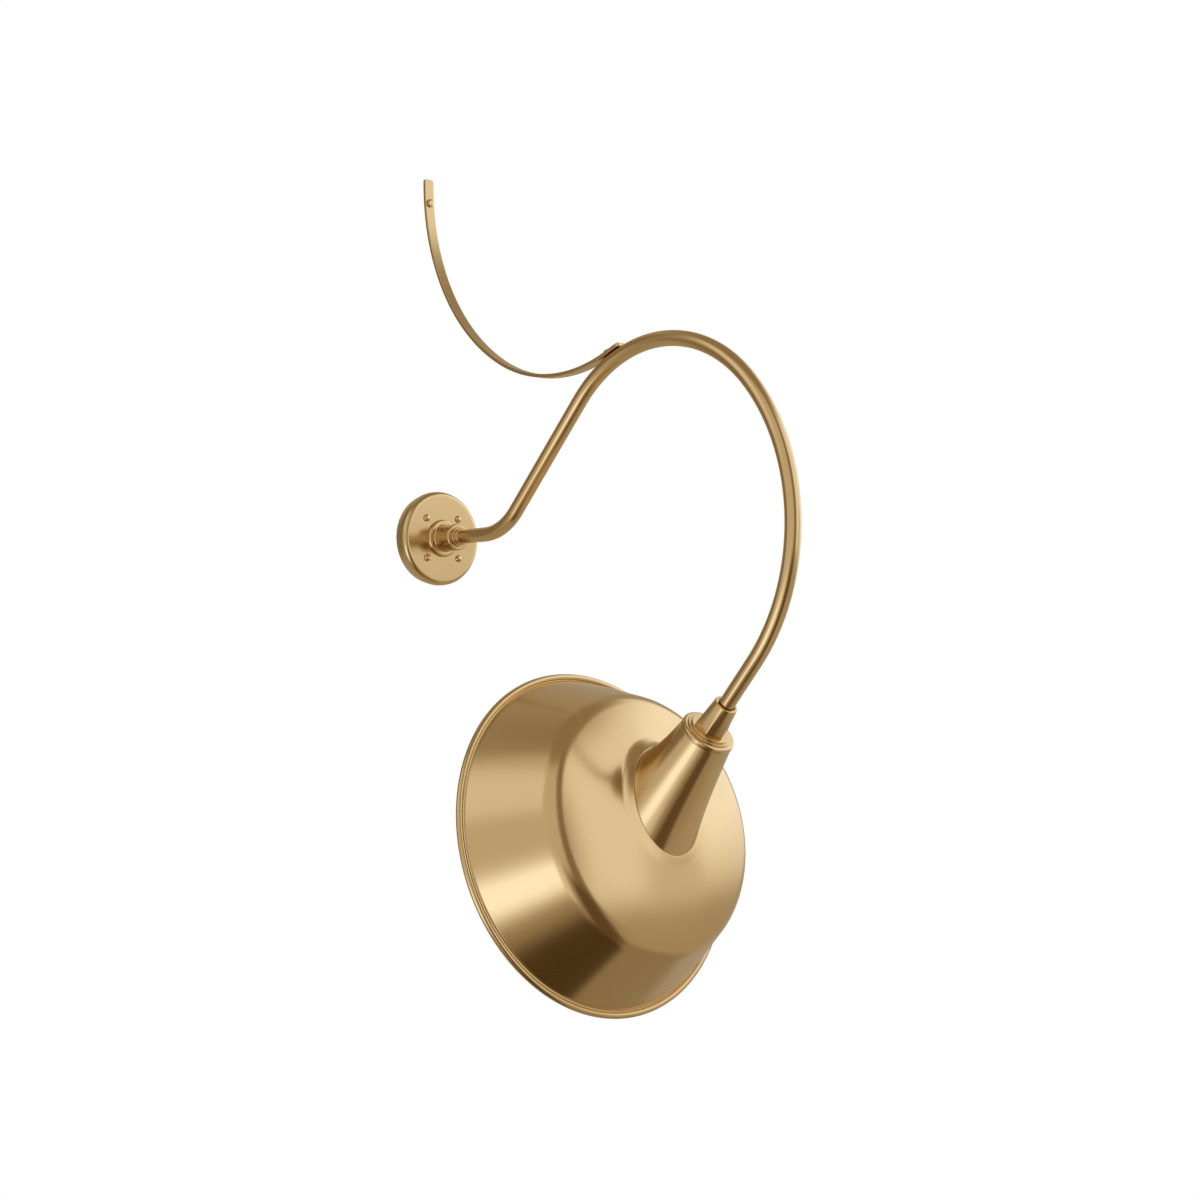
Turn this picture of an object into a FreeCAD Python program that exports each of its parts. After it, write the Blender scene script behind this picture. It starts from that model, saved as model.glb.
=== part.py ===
import FreeCAD, Part
import math
import os

# Gooseneck wall light with an angled shade, in millimetres.
# Origin: centre of the wall plate's mounting pattern, on the wall.
# +Y goes into the wall, +Z is up, and the whole lamp is mirrored about X = 0.
# "out" is the distance from the wall, so a point (out, up) lies at (0, -out, up).

# ---------------------------------------------------------------- wall plate
PLATE_RADIUS = 63.5            # rounded rim that meets the wall
PLATE_DEPTH = 22.3             # wall to flat face
PLATE_SHELF_RADIUS = 60.6      # foot of the cove above the rim
PLATE_SHELF_OUT = 9.4          # top of the rim
PLATE_FACE_RADIUS = 59.0       # edge of the flat face
PLATE_RIM_SLOPE = 0.6          # rim's outer edge below the cove's foot
PLATE_RIM_ROUNDING = 3.4
PLATE_COVE_ROUNDING = 4.0
PLATE_FACE_ROUNDING = 2.6
PLATE_SHEET = 1.5
SCREW_SQUARE = 54.0            # side of the square of the four face screws
FACE_SCREW_RADIUS = 2.4
FACE_SCREW_HEAD_RADIUS = 5.0
FACE_SCREW_HEAD_HEIGHT = 3.0
GASKET_WIDTH = 5.0
GASKET_THICKNESS = 3.0

# ------------------------------------------------- mounting bar on the wall box
BAR_LENGTH = 100.0
BAR_HEIGHT = 68.0
BAR_THICKNESS = 2.5
BAR_CORNER = 14.0
BAR_WIRE_HOLE_RADIUS = 15.0
BOX_SCREW_SPACING = 88.9       # holes of an ordinary wall box
BOX_SLOT_LENGTH = 12.0
BOX_SLOT_HALF_WIDTH = 2.4

# ----------------------------------------------------------------------- hub
HUB_RING_RADIUS = 25.5
HUB_RING_DEPTH = 6.0
HUB_BARREL_RADIUS = 18.1
HUB_DEPTH = 35.7               # plate face to the barrel's end
HUB_FOOT_ROUNDING = 1.2
HUB_RING_ROUNDING = 3.6
HUB_COVE_ROUNDING = 1.6
HUB_END_ROUNDING = 2.4
COLLAR_STEPS = ((4.075, 3.6), (1.875, 4.2))   # height over the tube, depth
COLLAR_UNDERCUT = 2.0          # how far each groove is cut in
COLLAR_ROUNDING = 0.9
COLLAR_GROOVE_DEPTH = 0.8
NIPPLE_RADIUS = 6.75
NIPPLE_BORE_RADIUS = 4.9
NIPPLE_LENGTH = 18.0
NIPPLE_GRIP = 8.0              # how far the nipple goes into the hub
NUT_FLATS = 20.0
NUT_DEPTH = 5.0
NUT_CHAMFER = 1.1              # of what a nut's corners stand past its flats
WASHER_RADIUS = 12.5
WASHER_DEPTH = 1.6

# ------------------------------------------------------------- gooseneck tube
TUBE_RADIUS = 9.525
TUBE_WALL = 1.6
TUBE_GRIP = 28.0               # how far the tube goes into the hub
ARM_STANDOFF = 113.4           # wall to the first bend
FIRST_BEND = (90.0, 45.8)      # radius, degrees upwards
RISE_LENGTH = 179.4            # straight stretch between the bends
LOOP_BENDS = ((194.3, 92.1), (240.4, 85.8))  # radius, degrees over and down
DROP_LENGTH = 104.8            # last bend to the underside of the coupling

# ------------------------------------------------------------- strap brace
STRAP_WIDTH = 15.2
STRAP_THICKNESS = 4.0
STRAP_TOP_UP = 497.0
STRAP_LEAVES_WALL_UP = 484.0
STRAP_SCREW_UP = 464.0
STRAP_BEND = (298.0, 60.5)     # upper stretch: radius, degrees
STRAP_PAD_LENGTH = 17.6        # past the point where it meets the tube
STRAP_SCREW_BACK = 7.5         # its lower screw, before that point
STRAP_SCREW_RADIUS = 2.4
STRAP_SCREW_HEAD_RADIUS = 4.6
STRAP_SCREW_HEAD_HEIGHT = 3.2
WALL_SCREW_THREAD_RADIUS = 2.1
WALL_SCREW_THREAD = 18.0       # straight stretch in the wall
WALL_SCREW_POINT = 6.0
WALL_SCREW_TIP_RADIUS = 0.2
TUBE_SCREW_REACH = 2.6         # past the tube's inner wall

# ---------------------------------------------------------------- coupling
COUPLING_HEIGHT = 42.3
COUPLING_TOP_WALL = 3.0         # round the recess
COUPLING_FOOT_RADIUS = 19.3
COUPLING_FLATS = 33.4
COUPLING_RECESS_GAP = 1.675     # round the tube, at the coupling's top
COUPLING_RECESS_DEPTH = 2.5
COUPLING_FOOT_ROUNDING = 0.6
COUPLING_TOP_ROUNDING = 1.0
COUPLING_RECESS_ROUNDING = 0.5

# ---------------------------------------------------------------- neck cap
CAP_DISC_RADIUS = 23.6
CAP_RING_RADIUS = 27.8
CAP_LIP_RADIUS = 33.1
CAP_DISC_STEP = 1.6
CAP_RING_STEP = 1.6
CAP_LIP_DEPTH = 4.8
CAP_SKIRT_DEPTH = 7.0
CAP_SHEET = 3.2
CAP_STEP_ROUNDING = 0.7
CAP_LIP_ROUNDING = 2.6
CAP_LIP_EDGE_ROUNDING = 0.8
CAP_INSIDE_ROUNDING = 1.5
TUBE_BELOW_CAP = 18.0          # threaded end that carries the head
HEAD_NUT_FLATS = 27.0
HEAD_NUT_DEPTH = 6.0
HEAD_WASHER_RADIUS = 14.4

# -------------------------------------------------------------------- neck
NECK_TOP_RADIUS = 32.9
NECK_SHEET = 1.3
NECK_TAPER = 8.5               # degrees from its axis
NECK_FLARE = ((32.0, 37.2), (56.0, 40.8))   # depth below the cap, radius
FOOT_HALF_WIDTH = 50.8
FOOT_HALF_LENGTH = 66.0
FOOT_SET_DOWN = 5.4            # foot's centre below the neck's axis
FOOT_SPLAY = 0.5               # growth of the foot's outline per depth
FOOT_UP = 137.6                # foot plane above the shade's mouth

# ------------------------------------------------------------------- shade
SHADE_TILT = 31.3              # mouth turned back from the neck's axis
SHADE_CROSSING = 155.6         # cap to the crossing of neck and shade axes
SHADE_MOUTH_DEPTH = 98.0       # that crossing to the mouth
RIM_RADIUS = 216.0
BEAD_RADIUS = 4.2
SHADE_SHEET = 1.2
WALL_FLARE = 26.0              # degrees from the shade's axis
SHOULDER_RADIUS = 34.0
CROWN_RADIUS = 416.0
CROWN_UP = 139.0
COLLAR_SPREAD = 13.0           # collar's skirt past the neck's foot
COLLAR_SINK = 12.0             # how deep that skirt starts in the crown
COLLAR_INSET = 0.4             # sheet's sideways share on the sloping collar
COLLAR_LIP = 1.6               # collar's flat edge past the neck's foot
SHADE_LEDGE = 3.6              # crown's edge inside the neck's foot

# ------------------------------------------------------------- lamp holder
HOLDER_RADIUS = 19.5
HOLDER_LENGTH = 46.0
HOLDER_TOP = 52.0              # cap to the holder's top
HOLDER_TOP_INSET = 2.0         # top edge inside the holder's side
HOLDER_SHOULDER_DOWN = 12.0
HOLDER_SHOULDER_ROUNDING = 3.0
HOLDER_MOUTH_ROUNDING = 1.6
HOLDER_CUP_ROUNDING = 0.8
SHELL_SHEET = 0.6
SHELL_DEPTH = 27.0
SHELL_SET_BACK = 3.0           # shell's edge above the holder's mouth
CONTACT_RADIUS = 4.2
CONTACT_PLATE_RADIUS = 9.2
CONTACT_SHEET = 0.8
CONTACT_TAPER = 1.0            # tongue's taper each way
BRACKET_THICKNESS = 1.6
BRACKET_WIDTH = 14.0
BRACKET_LEG_GAP = 5.3          # between a leg and the cap's skirt
BRACKET_BEND = 2.6             # outer radius of its bends
BRACKET_FOOT = 5.0             # length of each turned-in foot
BRACKET_SCREW_RADIUS = 1.6
BRACKET_SCREW_HEAD_RADIUS = 2.3
BRACKET_SCREW_HEAD_HEIGHT = 1.8
BRACKET_SCREW_LENGTH = 4.0
HOLDER_SCREW_SPACING = 24.0
HOLDER_SCREW_LENGTH = 8.0
HOLDER_FLOOR = 14.0            # holder's top to its cup

# -------------------------------------------------------------------- lamp
LAMP_CAP_RADIUS = 13.1
LAMP_CAP_ROOT = 12.3
LAMP_THREAD_PITCH = 3.63
LAMP_THREADS = 4
LAMP_RIDGE = 0.9
LAMP_CAP_LENGTH = 25.0
LAMP_CAP_BELOW = 3.0           # of the cap, below the holder's mouth
LAMP_TIP_RADIUS = 4.0
LAMP_TIP_ROUNDING = 1.2
LAMP_INSULATOR = (9.0, 3.5)    # radius, depth below the tip
LAMP_CAP_EDGE_DOWN = 5.0
LAMP_FIRST_RIDGE_DOWN = 5.6
LAMP_RIDGE_ROUNDING = 0.6
LAMP_GLASS_RADIUS = 30.0
LAMP_GLASS_LENGTH = 81.0
LAMP_NECK_RADIUS = 12.7
LAMP_GLASS_SHEET = 0.8
LAMP_BELLY_ANGLE = 0.5         # radians above the belly's middle
LAMP_FLANK_PULL = 14.0         # of the curve from the belly to the throat
LAMP_THROAT_LENGTH = 12.0

# ------------------------------------------------------------------- wires
WIRE_RADIUS = 1.3
WIRE_SPREAD = 3.2              # centres of the two current wires, side by side
GROUND_WIRE_DROP = 2.25        # ground wire's centre below theirs
GROUND_WIRE_BEND = 8.0
GROUND_SCREW_DOWN = 28.0       # ground screw below the plate's centre
GROUND_SCREW_FLATS = 7.0
GROUND_SCREW_HEAD_HEIGHT = 2.4

# ------------------------------------------------------ slots in screw heads
SCREW_SLOT_WIDTH = 1.0
SCREW_SLOT_SHARE = 0.35        # of the head's height

# -------------------------------------------------------------- clearances
SLIP = 0.1                     # pieces pushed together and fixed
RUNNING = 0.06                 # radial, head on the tube's end
TURNING_GAP = 0.3              # between pieces that turn past each other
HOLE_CLEARANCE = 0.3
CUT_PAST = 1.0                 # how far a cut runs past the faces it opens


# ================================================================ tools
def frame_at(out, up, heading):
    """Placement whose Z axis runs along heading (degrees above outward)."""
    turn = FreeCAD.Rotation(FreeCAD.Vector(1, 0, 0), 90.0 - heading)
    return FreeCAD.Placement(FreeCAD.Vector(0, -out, up), turn)


def placed(shape, placement):
    """Copy of a shape, moved from its own frame into the lamp's frame."""
    moved = shape.copy()
    moved.Placement = placement.multiply(moved.Placement)
    return moved


def arc(start, middle, end):
    return Part.Arc(start, middle, end).toShape()


def line(start, end):
    return Part.LineSegment(start, end).toShape()


def rounded_face(corners, plane):
    """Face of a closed outline. A corner (a, b, radius) is turned by an arc."""
    points = [plane(corner[0], corner[1]) for corner in corners]
    radii = [corner[2] if len(corner) > 2 else 0.0 for corner in corners]
    entries = []
    for i, point in enumerate(points):
        back = (points[i - 1] - point).normalize()
        ahead = (points[(i + 1) % len(points)] - point).normalize()
        if radii[i] == 0.0:
            entries.append((point, None, point))
            continue
        half = back.getAngle(ahead) / 2
        reach = radii[i] / math.tan(half)
        inward = (back + ahead).normalize()
        middle = point + inward * (radii[i] / math.sin(half) - radii[i])
        entries.append((point + back * reach, middle, point + ahead * reach))
    edges = []
    for i, (start, middle, end) in enumerate(entries):
        if middle is not None:
            edges.append(arc(start, middle, end))
        following = entries[(i + 1) % len(entries)][0]
        if (following - end).Length > 1e-6:
            edges.append(line(end, following))
    return Part.Face(Part.Wire(edges))


def offset_corners(corners, distance):
    """Open outline moved sideways by distance, to the left of its run."""
    points = [FreeCAD.Vector(corner[0], corner[1], 0) for corner in corners]
    runs = [(b - a).normalize() for a, b in zip(points, points[1:])]
    sides = [FreeCAD.Vector(-run.y, run.x, 0) for run in runs]
    moved = []
    for i, corner in enumerate(corners):
        before = sides[max(i - 1, 0)]
        after = sides[min(i, len(sides) - 1)]
        mitre = (before + after) * (distance / (1 + before.dot(after)))
        point = points[i] + mitre
        radius = corner[2] if len(corner) > 2 else 0.0
        if radius > 0.0:
            left_turn = runs[i - 1].cross(runs[i]).z > 0
            radius = radius - distance if left_turn else radius + distance
        moved.append((point.x, point.y, radius))
    return moved


def turned(corners):
    """Solid of revolution about Z of a (radius, height, rounding) outline."""
    face = rounded_face(corners, lambda r, z: FreeCAD.Vector(r, 0, z))
    return face.revolve(FreeCAD.Vector(0, 0, 0), FreeCAD.Vector(0, 0, 1), 360)


def turned_sheet(corners, sheet):
    """Spun sheet: the outer outline, with its inner face on the left of its run."""
    return turned(corners + offset_corners(corners, sheet)[::-1])


def rod(radius, bottom, top, x=0.0, y=0.0):
    """Round bar along Z between two heights."""
    return Part.makeCylinder(radius, top - bottom, FreeCAD.Vector(x, y, bottom))


def ring(outer, inner, bottom, top):
    return rod(outer, bottom, top).cut(rod(inner, bottom, top))


def hexagon(flats, bottom, top):
    """Hexagonal bar along Z, with two of its corners on X."""
    corner = flats / math.sqrt(3)
    points = []
    for i in range(7):
        angle = math.radians(60 * i)
        points.append(FreeCAD.Vector(corner * math.cos(angle), corner * math.sin(angle), bottom))
    return Part.Face(Part.makePolygon(points)).extrude(FreeCAD.Vector(0, 0, top - bottom))


def round_head_screw(radius, length, head_radius, head_height):
    """Screw along Z: its head stands on the plane Z = 0, its shank below."""
    sphere_radius = (head_radius ** 2 + head_height ** 2) / (2 * head_height)
    head = Part.makeSphere(sphere_radius, FreeCAD.Vector(0, 0, head_height - sphere_radius))
    head = head.common(rod(head_radius, 0, head_height))
    shank = rod(radius, -length, 0)
    slot_depth = head_height * SCREW_SLOT_SHARE
    slot = Part.makeBox(2 * head_radius, SCREW_SLOT_WIDTH, slot_depth)
    slot.translate(FreeCAD.Vector(-head_radius, -SCREW_SLOT_WIDTH / 2, head_height - slot_depth))
    return head.fuse(shank).removeSplitter().cut(slot)


class Walk:
    """A path in the lamp's own plane, made of straight runs and tangent bends."""

    def __init__(self, out, up, heading, side=0.0):
        self.out = out
        self.up = up
        self.heading = heading
        self.side = side
        self.edges = []

    def here(self):
        return FreeCAD.Vector(self.side, -self.out, self.up)

    def step(self, length, angle):
        self.out += length * math.cos(math.radians(angle))
        self.up += length * math.sin(math.radians(angle))
        return self.here()

    def run(self, length):
        start = self.here()
        self.edges.append(line(start, self.step(length, self.heading)))

    def bend(self, radius, turn):
        """Turn by an angle in degrees, upwards when it is positive."""
        start = self.here()
        chord = 2 * radius * math.sin(math.radians(abs(turn) / 4))
        middle = self.step(chord, self.heading + turn / 4)
        end = self.step(chord, self.heading + 3 * turn / 4)
        self.edges.append(arc(start, middle, end))
        self.heading += turn

    def wire(self):
        return Part.Wire(self.edges)


# ======================================================== shared positions
HUB_END_OUT = PLATE_DEPTH + HUB_DEPTH
TUBE_START_OUT = HUB_END_OUT - TUBE_GRIP
PLATE_INSIDE_OUT = PLATE_DEPTH - PLATE_SHEET
NIPPLE_OUT = PLATE_DEPTH + NIPPLE_GRIP
TUBE_BORE = TUBE_RADIUS - TUBE_WALL
GROUND_EYE_RADIUS = BRACKET_SCREW_RADIUS + WIRE_RADIUS + SLIP
CAP_SKIRT_RADIUS = NECK_TOP_RADIUS - NECK_SHEET - SLIP
BRACKET_LEG_OUT = CAP_SKIRT_RADIUS - CAP_SHEET - BRACKET_LEG_GAP


def follow_arm(walk, below, end_extra):
    """Walk on along the arm, at a distance below its centre line.

    The walk ends end_extra past the coupling's underside.
    """
    walk.run(ARM_STANDOFF - walk.out)
    walk.bend(FIRST_BEND[0] + below, FIRST_BEND[1])
    walk.run(RISE_LENGTH)
    for radius, turn in LOOP_BENDS:
        walk.bend(radius - below, -turn)
    walk.run(DROP_LENGTH + end_extra)
    return walk


def arm_walk(start_out, end_extra, side=0.0):
    """Centre line of the arm, or a line beside it."""
    return follow_arm(Walk(start_out, 0.0, 0.0, side), 0.0, end_extra)


def loop_centre():
    """Centre (out, up) of the loop's first bend, which the strap also follows."""
    walk = Walk(ARM_STANDOFF, 0.0, 0.0)
    walk.bend(FIRST_BEND[0], FIRST_BEND[1])
    walk.run(RISE_LENGTH)
    walk.step(LOOP_BENDS[0][0], walk.heading - 90)
    return walk.out, walk.up


arm_end = arm_walk(TUBE_START_OUT, 0.0)
NECK_HEADING = arm_end.heading + 180.0
NECK = frame_at(arm_end.out, arm_end.up, NECK_HEADING)
crossing = Walk(arm_end.out, arm_end.up, arm_end.heading)
crossing.step(SHADE_CROSSING, crossing.heading)
crossing.step(SHADE_MOUTH_DEPTH, crossing.heading - SHADE_TILT)
SHADE = frame_at(crossing.out, crossing.up, NECK_HEADING - SHADE_TILT)
FOOT_CENTRE = (FOOT_UP - SHADE_MOUTH_DEPTH) * math.tan(math.radians(SHADE_TILT)) - FOOT_SET_DOWN
WALL = frame_at(0.0, 0.0, 0.0)


# ============================================================ wall pieces
def wall_plate():
    """Spun round plate: rounded rim, cove and flat face, open to the wall."""
    outer = [
        (PLATE_RADIUS, 0.0),
        (PLATE_RADIUS, PLATE_SHELF_OUT - PLATE_RIM_SLOPE, PLATE_RIM_ROUNDING),
        (PLATE_SHELF_RADIUS, PLATE_SHELF_OUT, PLATE_COVE_ROUNDING),
        (PLATE_FACE_RADIUS, PLATE_DEPTH, PLATE_FACE_ROUNDING),
        (NIPPLE_RADIUS + HOLE_CLEARANCE, PLATE_DEPTH),
    ]
    plate = turned_sheet(outer, PLATE_SHEET)
    for x, y in square_corners():
        hole = rod(FACE_SCREW_RADIUS + HOLE_CLEARANCE, PLATE_INSIDE_OUT - CUT_PAST,
                   PLATE_DEPTH + CUT_PAST, x, y)
        plate = plate.cut(hole)
    return placed(plate, WALL)


def square_corners():
    half = SCREW_SQUARE / 2
    return [(x, y) for x in (-half, half) for y in (-half, half)]


def wall_gasket():
    """Soft ring pressed between the plate's rim and the wall."""
    outer = PLATE_RADIUS - PLATE_SHEET - SLIP
    return placed(ring(outer, outer - GASKET_WIDTH, 0.0, GASKET_THICKNESS), WALL)


def mounting_bar():
    """Flat steel bar on the wall box: two slots, four tapped holes, a wire hole."""
    half_x = BAR_LENGTH / 2
    half_y = BAR_HEIGHT / 2
    corners = [(-half_x, -half_y, BAR_CORNER), (half_x, -half_y, BAR_CORNER),
               (half_x, half_y, BAR_CORNER), (-half_x, half_y, BAR_CORNER)]
    face = rounded_face(corners, lambda x, y: FreeCAD.Vector(x, y, 0))
    bar = face.extrude(FreeCAD.Vector(0, 0, BAR_THICKNESS))
    cut_top = BAR_THICKNESS + CUT_PAST
    bar = bar.cut(rod(BAR_WIRE_HOLE_RADIUS, -CUT_PAST, cut_top))
    for x, y in square_corners():
        bar = bar.cut(rod(FACE_SCREW_RADIUS + SLIP / 2, -CUT_PAST, cut_top, x, y))
    for side in (-1, 1):
        bar = bar.cut(slot_along_x(side * BOX_SCREW_SPACING / 2))
    bar = bar.cut(rod(BRACKET_SCREW_RADIUS + SLIP / 2, -CUT_PAST, cut_top,
                      -GROUND_EYE_RADIUS, -GROUND_SCREW_DOWN))
    return placed(bar, WALL)


def slot_along_x(centre):
    straight = BOX_SLOT_LENGTH / 2 - BOX_SLOT_HALF_WIDTH
    slot = Part.makeBox(2 * straight, 2 * BOX_SLOT_HALF_WIDTH, BAR_THICKNESS + 2 * CUT_PAST)
    slot.translate(FreeCAD.Vector(centre - straight, -BOX_SLOT_HALF_WIDTH, -CUT_PAST))
    for end in (-straight, straight):
        slot = slot.fuse(rod(BOX_SLOT_HALF_WIDTH, -CUT_PAST, BAR_THICKNESS + CUT_PAST, centre + end))
    return slot


def plate_screws():
    """Four round-head screws through the plate's face into the bar."""
    screws = []
    for x, y in square_corners():
        screw = round_head_screw(FACE_SCREW_RADIUS, PLATE_DEPTH,
                                 FACE_SCREW_HEAD_RADIUS, FACE_SCREW_HEAD_HEIGHT)
        screw.translate(FreeCAD.Vector(x, y, PLATE_DEPTH))
        screws.append(screw)
    return placed(Part.Compound(screws), WALL)


def ground_screw():
    """Hexagonal ground screw in the bar, holding the ground wire's eye."""
    seat = BAR_THICKNESS + 2 * WIRE_RADIUS
    screw = hexagon(GROUND_SCREW_FLATS, seat, seat + GROUND_SCREW_HEAD_HEIGHT)
    screw = screw.fuse(rod(BRACKET_SCREW_RADIUS, 0.0, seat))
    screw.translate(FreeCAD.Vector(-GROUND_EYE_RADIUS, -GROUND_SCREW_DOWN, 0))
    return placed(screw, WALL)


# ==================================================================== hub
def hub():
    """Cast hub: rounded flange ring, barrel, tube socket and nipple hole."""
    socket = TUBE_RADIUS + SLIP / 2
    outline = [
        (NIPPLE_RADIUS + SLIP / 2, PLATE_DEPTH),
        (HUB_RING_RADIUS, PLATE_DEPTH, HUB_FOOT_ROUNDING),
        (HUB_RING_RADIUS, PLATE_DEPTH + HUB_RING_DEPTH, HUB_RING_ROUNDING),
        (HUB_BARREL_RADIUS, PLATE_DEPTH + HUB_RING_DEPTH, HUB_COVE_ROUNDING),
        (HUB_BARREL_RADIUS, HUB_END_OUT, HUB_END_ROUNDING),
        (socket, HUB_END_OUT),
        (socket, TUBE_START_OUT),
        (NIPPLE_RADIUS + SLIP / 2, TUBE_START_OUT),
    ]
    return placed(turned(outline), WALL)


def hub_collar():
    """Stepped ring that closes the hub around the tube."""
    bore = TUBE_RADIUS + SLIP / 2
    outline = [(bore, HUB_END_OUT)]
    height = HUB_END_OUT
    for rise, depth in COLLAR_STEPS:
        radius = TUBE_RADIUS + rise
        groove = max(radius - COLLAR_UNDERCUT, bore + COLLAR_GROOVE_DEPTH)
        outline.append((radius, height))
        outline.append((radius, height + depth, COLLAR_ROUNDING))
        outline.append((groove, height + depth))
        outline.append((groove, height + depth + COLLAR_GROOVE_DEPTH))
        height += depth + COLLAR_GROOVE_DEPTH
    outline.append((bore, height))
    return placed(turned(outline), WALL)


def hub_nipple():
    """Hollow threaded nipple that carries the hub and lets the wires in."""
    nipple = ring(NIPPLE_RADIUS, NIPPLE_BORE_RADIUS, NIPPLE_OUT - NIPPLE_LENGTH, NIPPLE_OUT)
    return placed(nipple, WALL)


def hub_washer():
    top = PLATE_INSIDE_OUT
    washer = ring(WASHER_RADIUS, NIPPLE_RADIUS + HOLE_CLEARANCE, top - WASHER_DEPTH, top)
    return placed(washer, WALL)


def hex_nut(flats, bore, bottom, top):
    """Hexagonal nut along Z with its corners turned down at both ends."""
    corner = flats / math.sqrt(3)
    chamfer = (corner - flats / 2) * NUT_CHAMFER
    blank = turned([(bore, bottom), (corner - chamfer, bottom), (corner, bottom + chamfer / 2),
                    (corner, top - chamfer / 2), (corner - chamfer, top), (bore, top)])
    return blank.common(hexagon(flats, bottom, top))


def hub_nut():
    top = PLATE_INSIDE_OUT - WASHER_DEPTH
    return placed(hex_nut(NUT_FLATS, NIPPLE_RADIUS + SLIP / 2, top - NUT_DEPTH, top), WALL)


# =================================================================== tube
def gooseneck_tube():
    """Bent tube, hollow for the wires, from the hub to its threaded end."""
    walk = arm_walk(TUBE_START_OUT, TUBE_BELOW_CAP)
    start = FreeCAD.Vector(0, -TUBE_START_OUT, 0)
    along = FreeCAD.Vector(0, -1, 0)
    outer = Part.Wire(Part.makeCircle(TUBE_RADIUS, start, along))
    inner = Part.Wire(Part.makeCircle(TUBE_BORE, start, along))
    spine = walk.wire()
    tube = spine.makePipe(Part.Face(outer)).cut(spine.makePipe(Part.Face(inner)))
    return tube.cut(tube_screw_hole())


def strap_geometry():
    """Key points of the strap's middle line, as (out, up) vectors.

    The upper bend leaves the wall, and the lower one runs on from it with the
    one radius that also touches the circle of the strap's pad on the tube.
    """
    upper_radius, upper_turn = STRAP_BEND
    pad_radius = LOOP_BENDS[0][0] + TUBE_RADIUS + STRAP_THICKNESS / 2
    turn = math.radians(upper_turn)
    centre_out, centre_up = loop_centre()
    pad_centre = FreeCAD.Vector(centre_out, centre_up, 0)
    upper_centre = FreeCAD.Vector(STRAP_THICKNESS / 2 + upper_radius, STRAP_LEAVES_WALL_UP, 0)
    toward = FreeCAD.Vector(math.cos(turn), math.sin(turn), 0)
    joint = upper_centre - toward * upper_radius
    gap = joint - pad_centre
    lower_radius = (gap.dot(gap) - pad_radius ** 2) / (2 * (pad_radius - gap.dot(toward)))
    lower_centre = joint + toward * lower_radius
    touch_angle = math.atan2(lower_centre.y - pad_centre.y, lower_centre.x - pad_centre.x)
    return pad_centre, pad_radius, lower_centre, lower_radius, touch_angle


def strap_walk():
    """Middle line of the strap, walked from its top end down to the tube."""
    pad_centre, pad_radius, lower_centre, lower_radius, touch_angle = strap_geometry()
    walk = Walk(STRAP_THICKNESS / 2, STRAP_TOP_UP, -90.0)
    walk.run(STRAP_TOP_UP - STRAP_LEAVES_WALL_UP)
    walk.bend(STRAP_BEND[0], STRAP_BEND[1])
    pad_heading = math.degrees(touch_angle) - 90.0
    walk.bend(lower_radius, pad_heading - walk.heading)
    walk.bend(pad_radius, -math.degrees(STRAP_PAD_LENGTH / pad_radius))
    return walk


def tube_screw_frame():
    """Frame under the head of the strap's lower screw, Z away from the tube."""
    pad_centre, pad_radius, lower_centre, lower_radius, touch_angle = strap_geometry()
    angle = touch_angle - STRAP_SCREW_BACK / lower_radius
    face_radius = lower_radius - STRAP_THICKNESS / 2
    reach = math.sqrt(face_radius ** 2 - STRAP_SCREW_HEAD_RADIUS ** 2)
    out = lower_centre.x - reach * math.cos(angle)
    up = lower_centre.y - reach * math.sin(angle)
    return frame_at(out, up, math.degrees(angle))


def tube_screw_hole():
    depth = STRAP_THICKNESS + TUBE_WALL + TUBE_SCREW_REACH
    hole = rod(STRAP_SCREW_RADIUS + SLIP / 2, -depth, CUT_PAST)
    return placed(hole, tube_screw_frame())


def brace_strap():
    """Flat bar bent on its flat from the wall to the top of the loop."""
    walk = strap_walk()
    profile = Part.makePolygon([
        FreeCAD.Vector(-STRAP_WIDTH / 2, 0, STRAP_TOP_UP),
        FreeCAD.Vector(STRAP_WIDTH / 2, 0, STRAP_TOP_UP),
        FreeCAD.Vector(STRAP_WIDTH / 2, -STRAP_THICKNESS, STRAP_TOP_UP),
        FreeCAD.Vector(-STRAP_WIDTH / 2, -STRAP_THICKNESS, STRAP_TOP_UP),
        FreeCAD.Vector(-STRAP_WIDTH / 2, 0, STRAP_TOP_UP),
    ])
    strap = walk.wire().makePipe(Part.Face(profile))
    hole = rod(STRAP_SCREW_RADIUS + HOLE_CLEARANCE, -STRAP_THICKNESS, 3 * STRAP_THICKNESS)
    strap = strap.cut(placed(hole, frame_at(0.0, STRAP_SCREW_UP, 0.0)))
    lower = rod(STRAP_SCREW_RADIUS + HOLE_CLEARANCE, -2 * STRAP_THICKNESS, STRAP_THICKNESS)
    return strap.cut(placed(lower, tube_screw_frame()))


def strap_wall_screw():
    """Pointed round-head screw that holds the strap's top end to the wall."""
    fall = STRAP_LEAVES_WALL_UP - STRAP_SCREW_UP + STRAP_SCREW_HEAD_RADIUS
    face_radius = STRAP_BEND[0] - STRAP_THICKNESS / 2
    seat = STRAP_THICKNESS + face_radius - math.sqrt(face_radius ** 2 - fall ** 2)
    screw = round_head_screw(STRAP_SCREW_RADIUS, seat,
                             STRAP_SCREW_HEAD_RADIUS, STRAP_SCREW_HEAD_HEIGHT)
    thread_end = -seat - WALL_SCREW_THREAD
    thread = rod(WALL_SCREW_THREAD_RADIUS, thread_end, -seat)
    point = Part.makeCone(WALL_SCREW_TIP_RADIUS, WALL_SCREW_THREAD_RADIUS, WALL_SCREW_POINT,
                          FreeCAD.Vector(0, 0, thread_end - WALL_SCREW_POINT))
    screw = screw.fuse([thread, point])
    return placed(screw, frame_at(seat, STRAP_SCREW_UP, 0.0))


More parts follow.
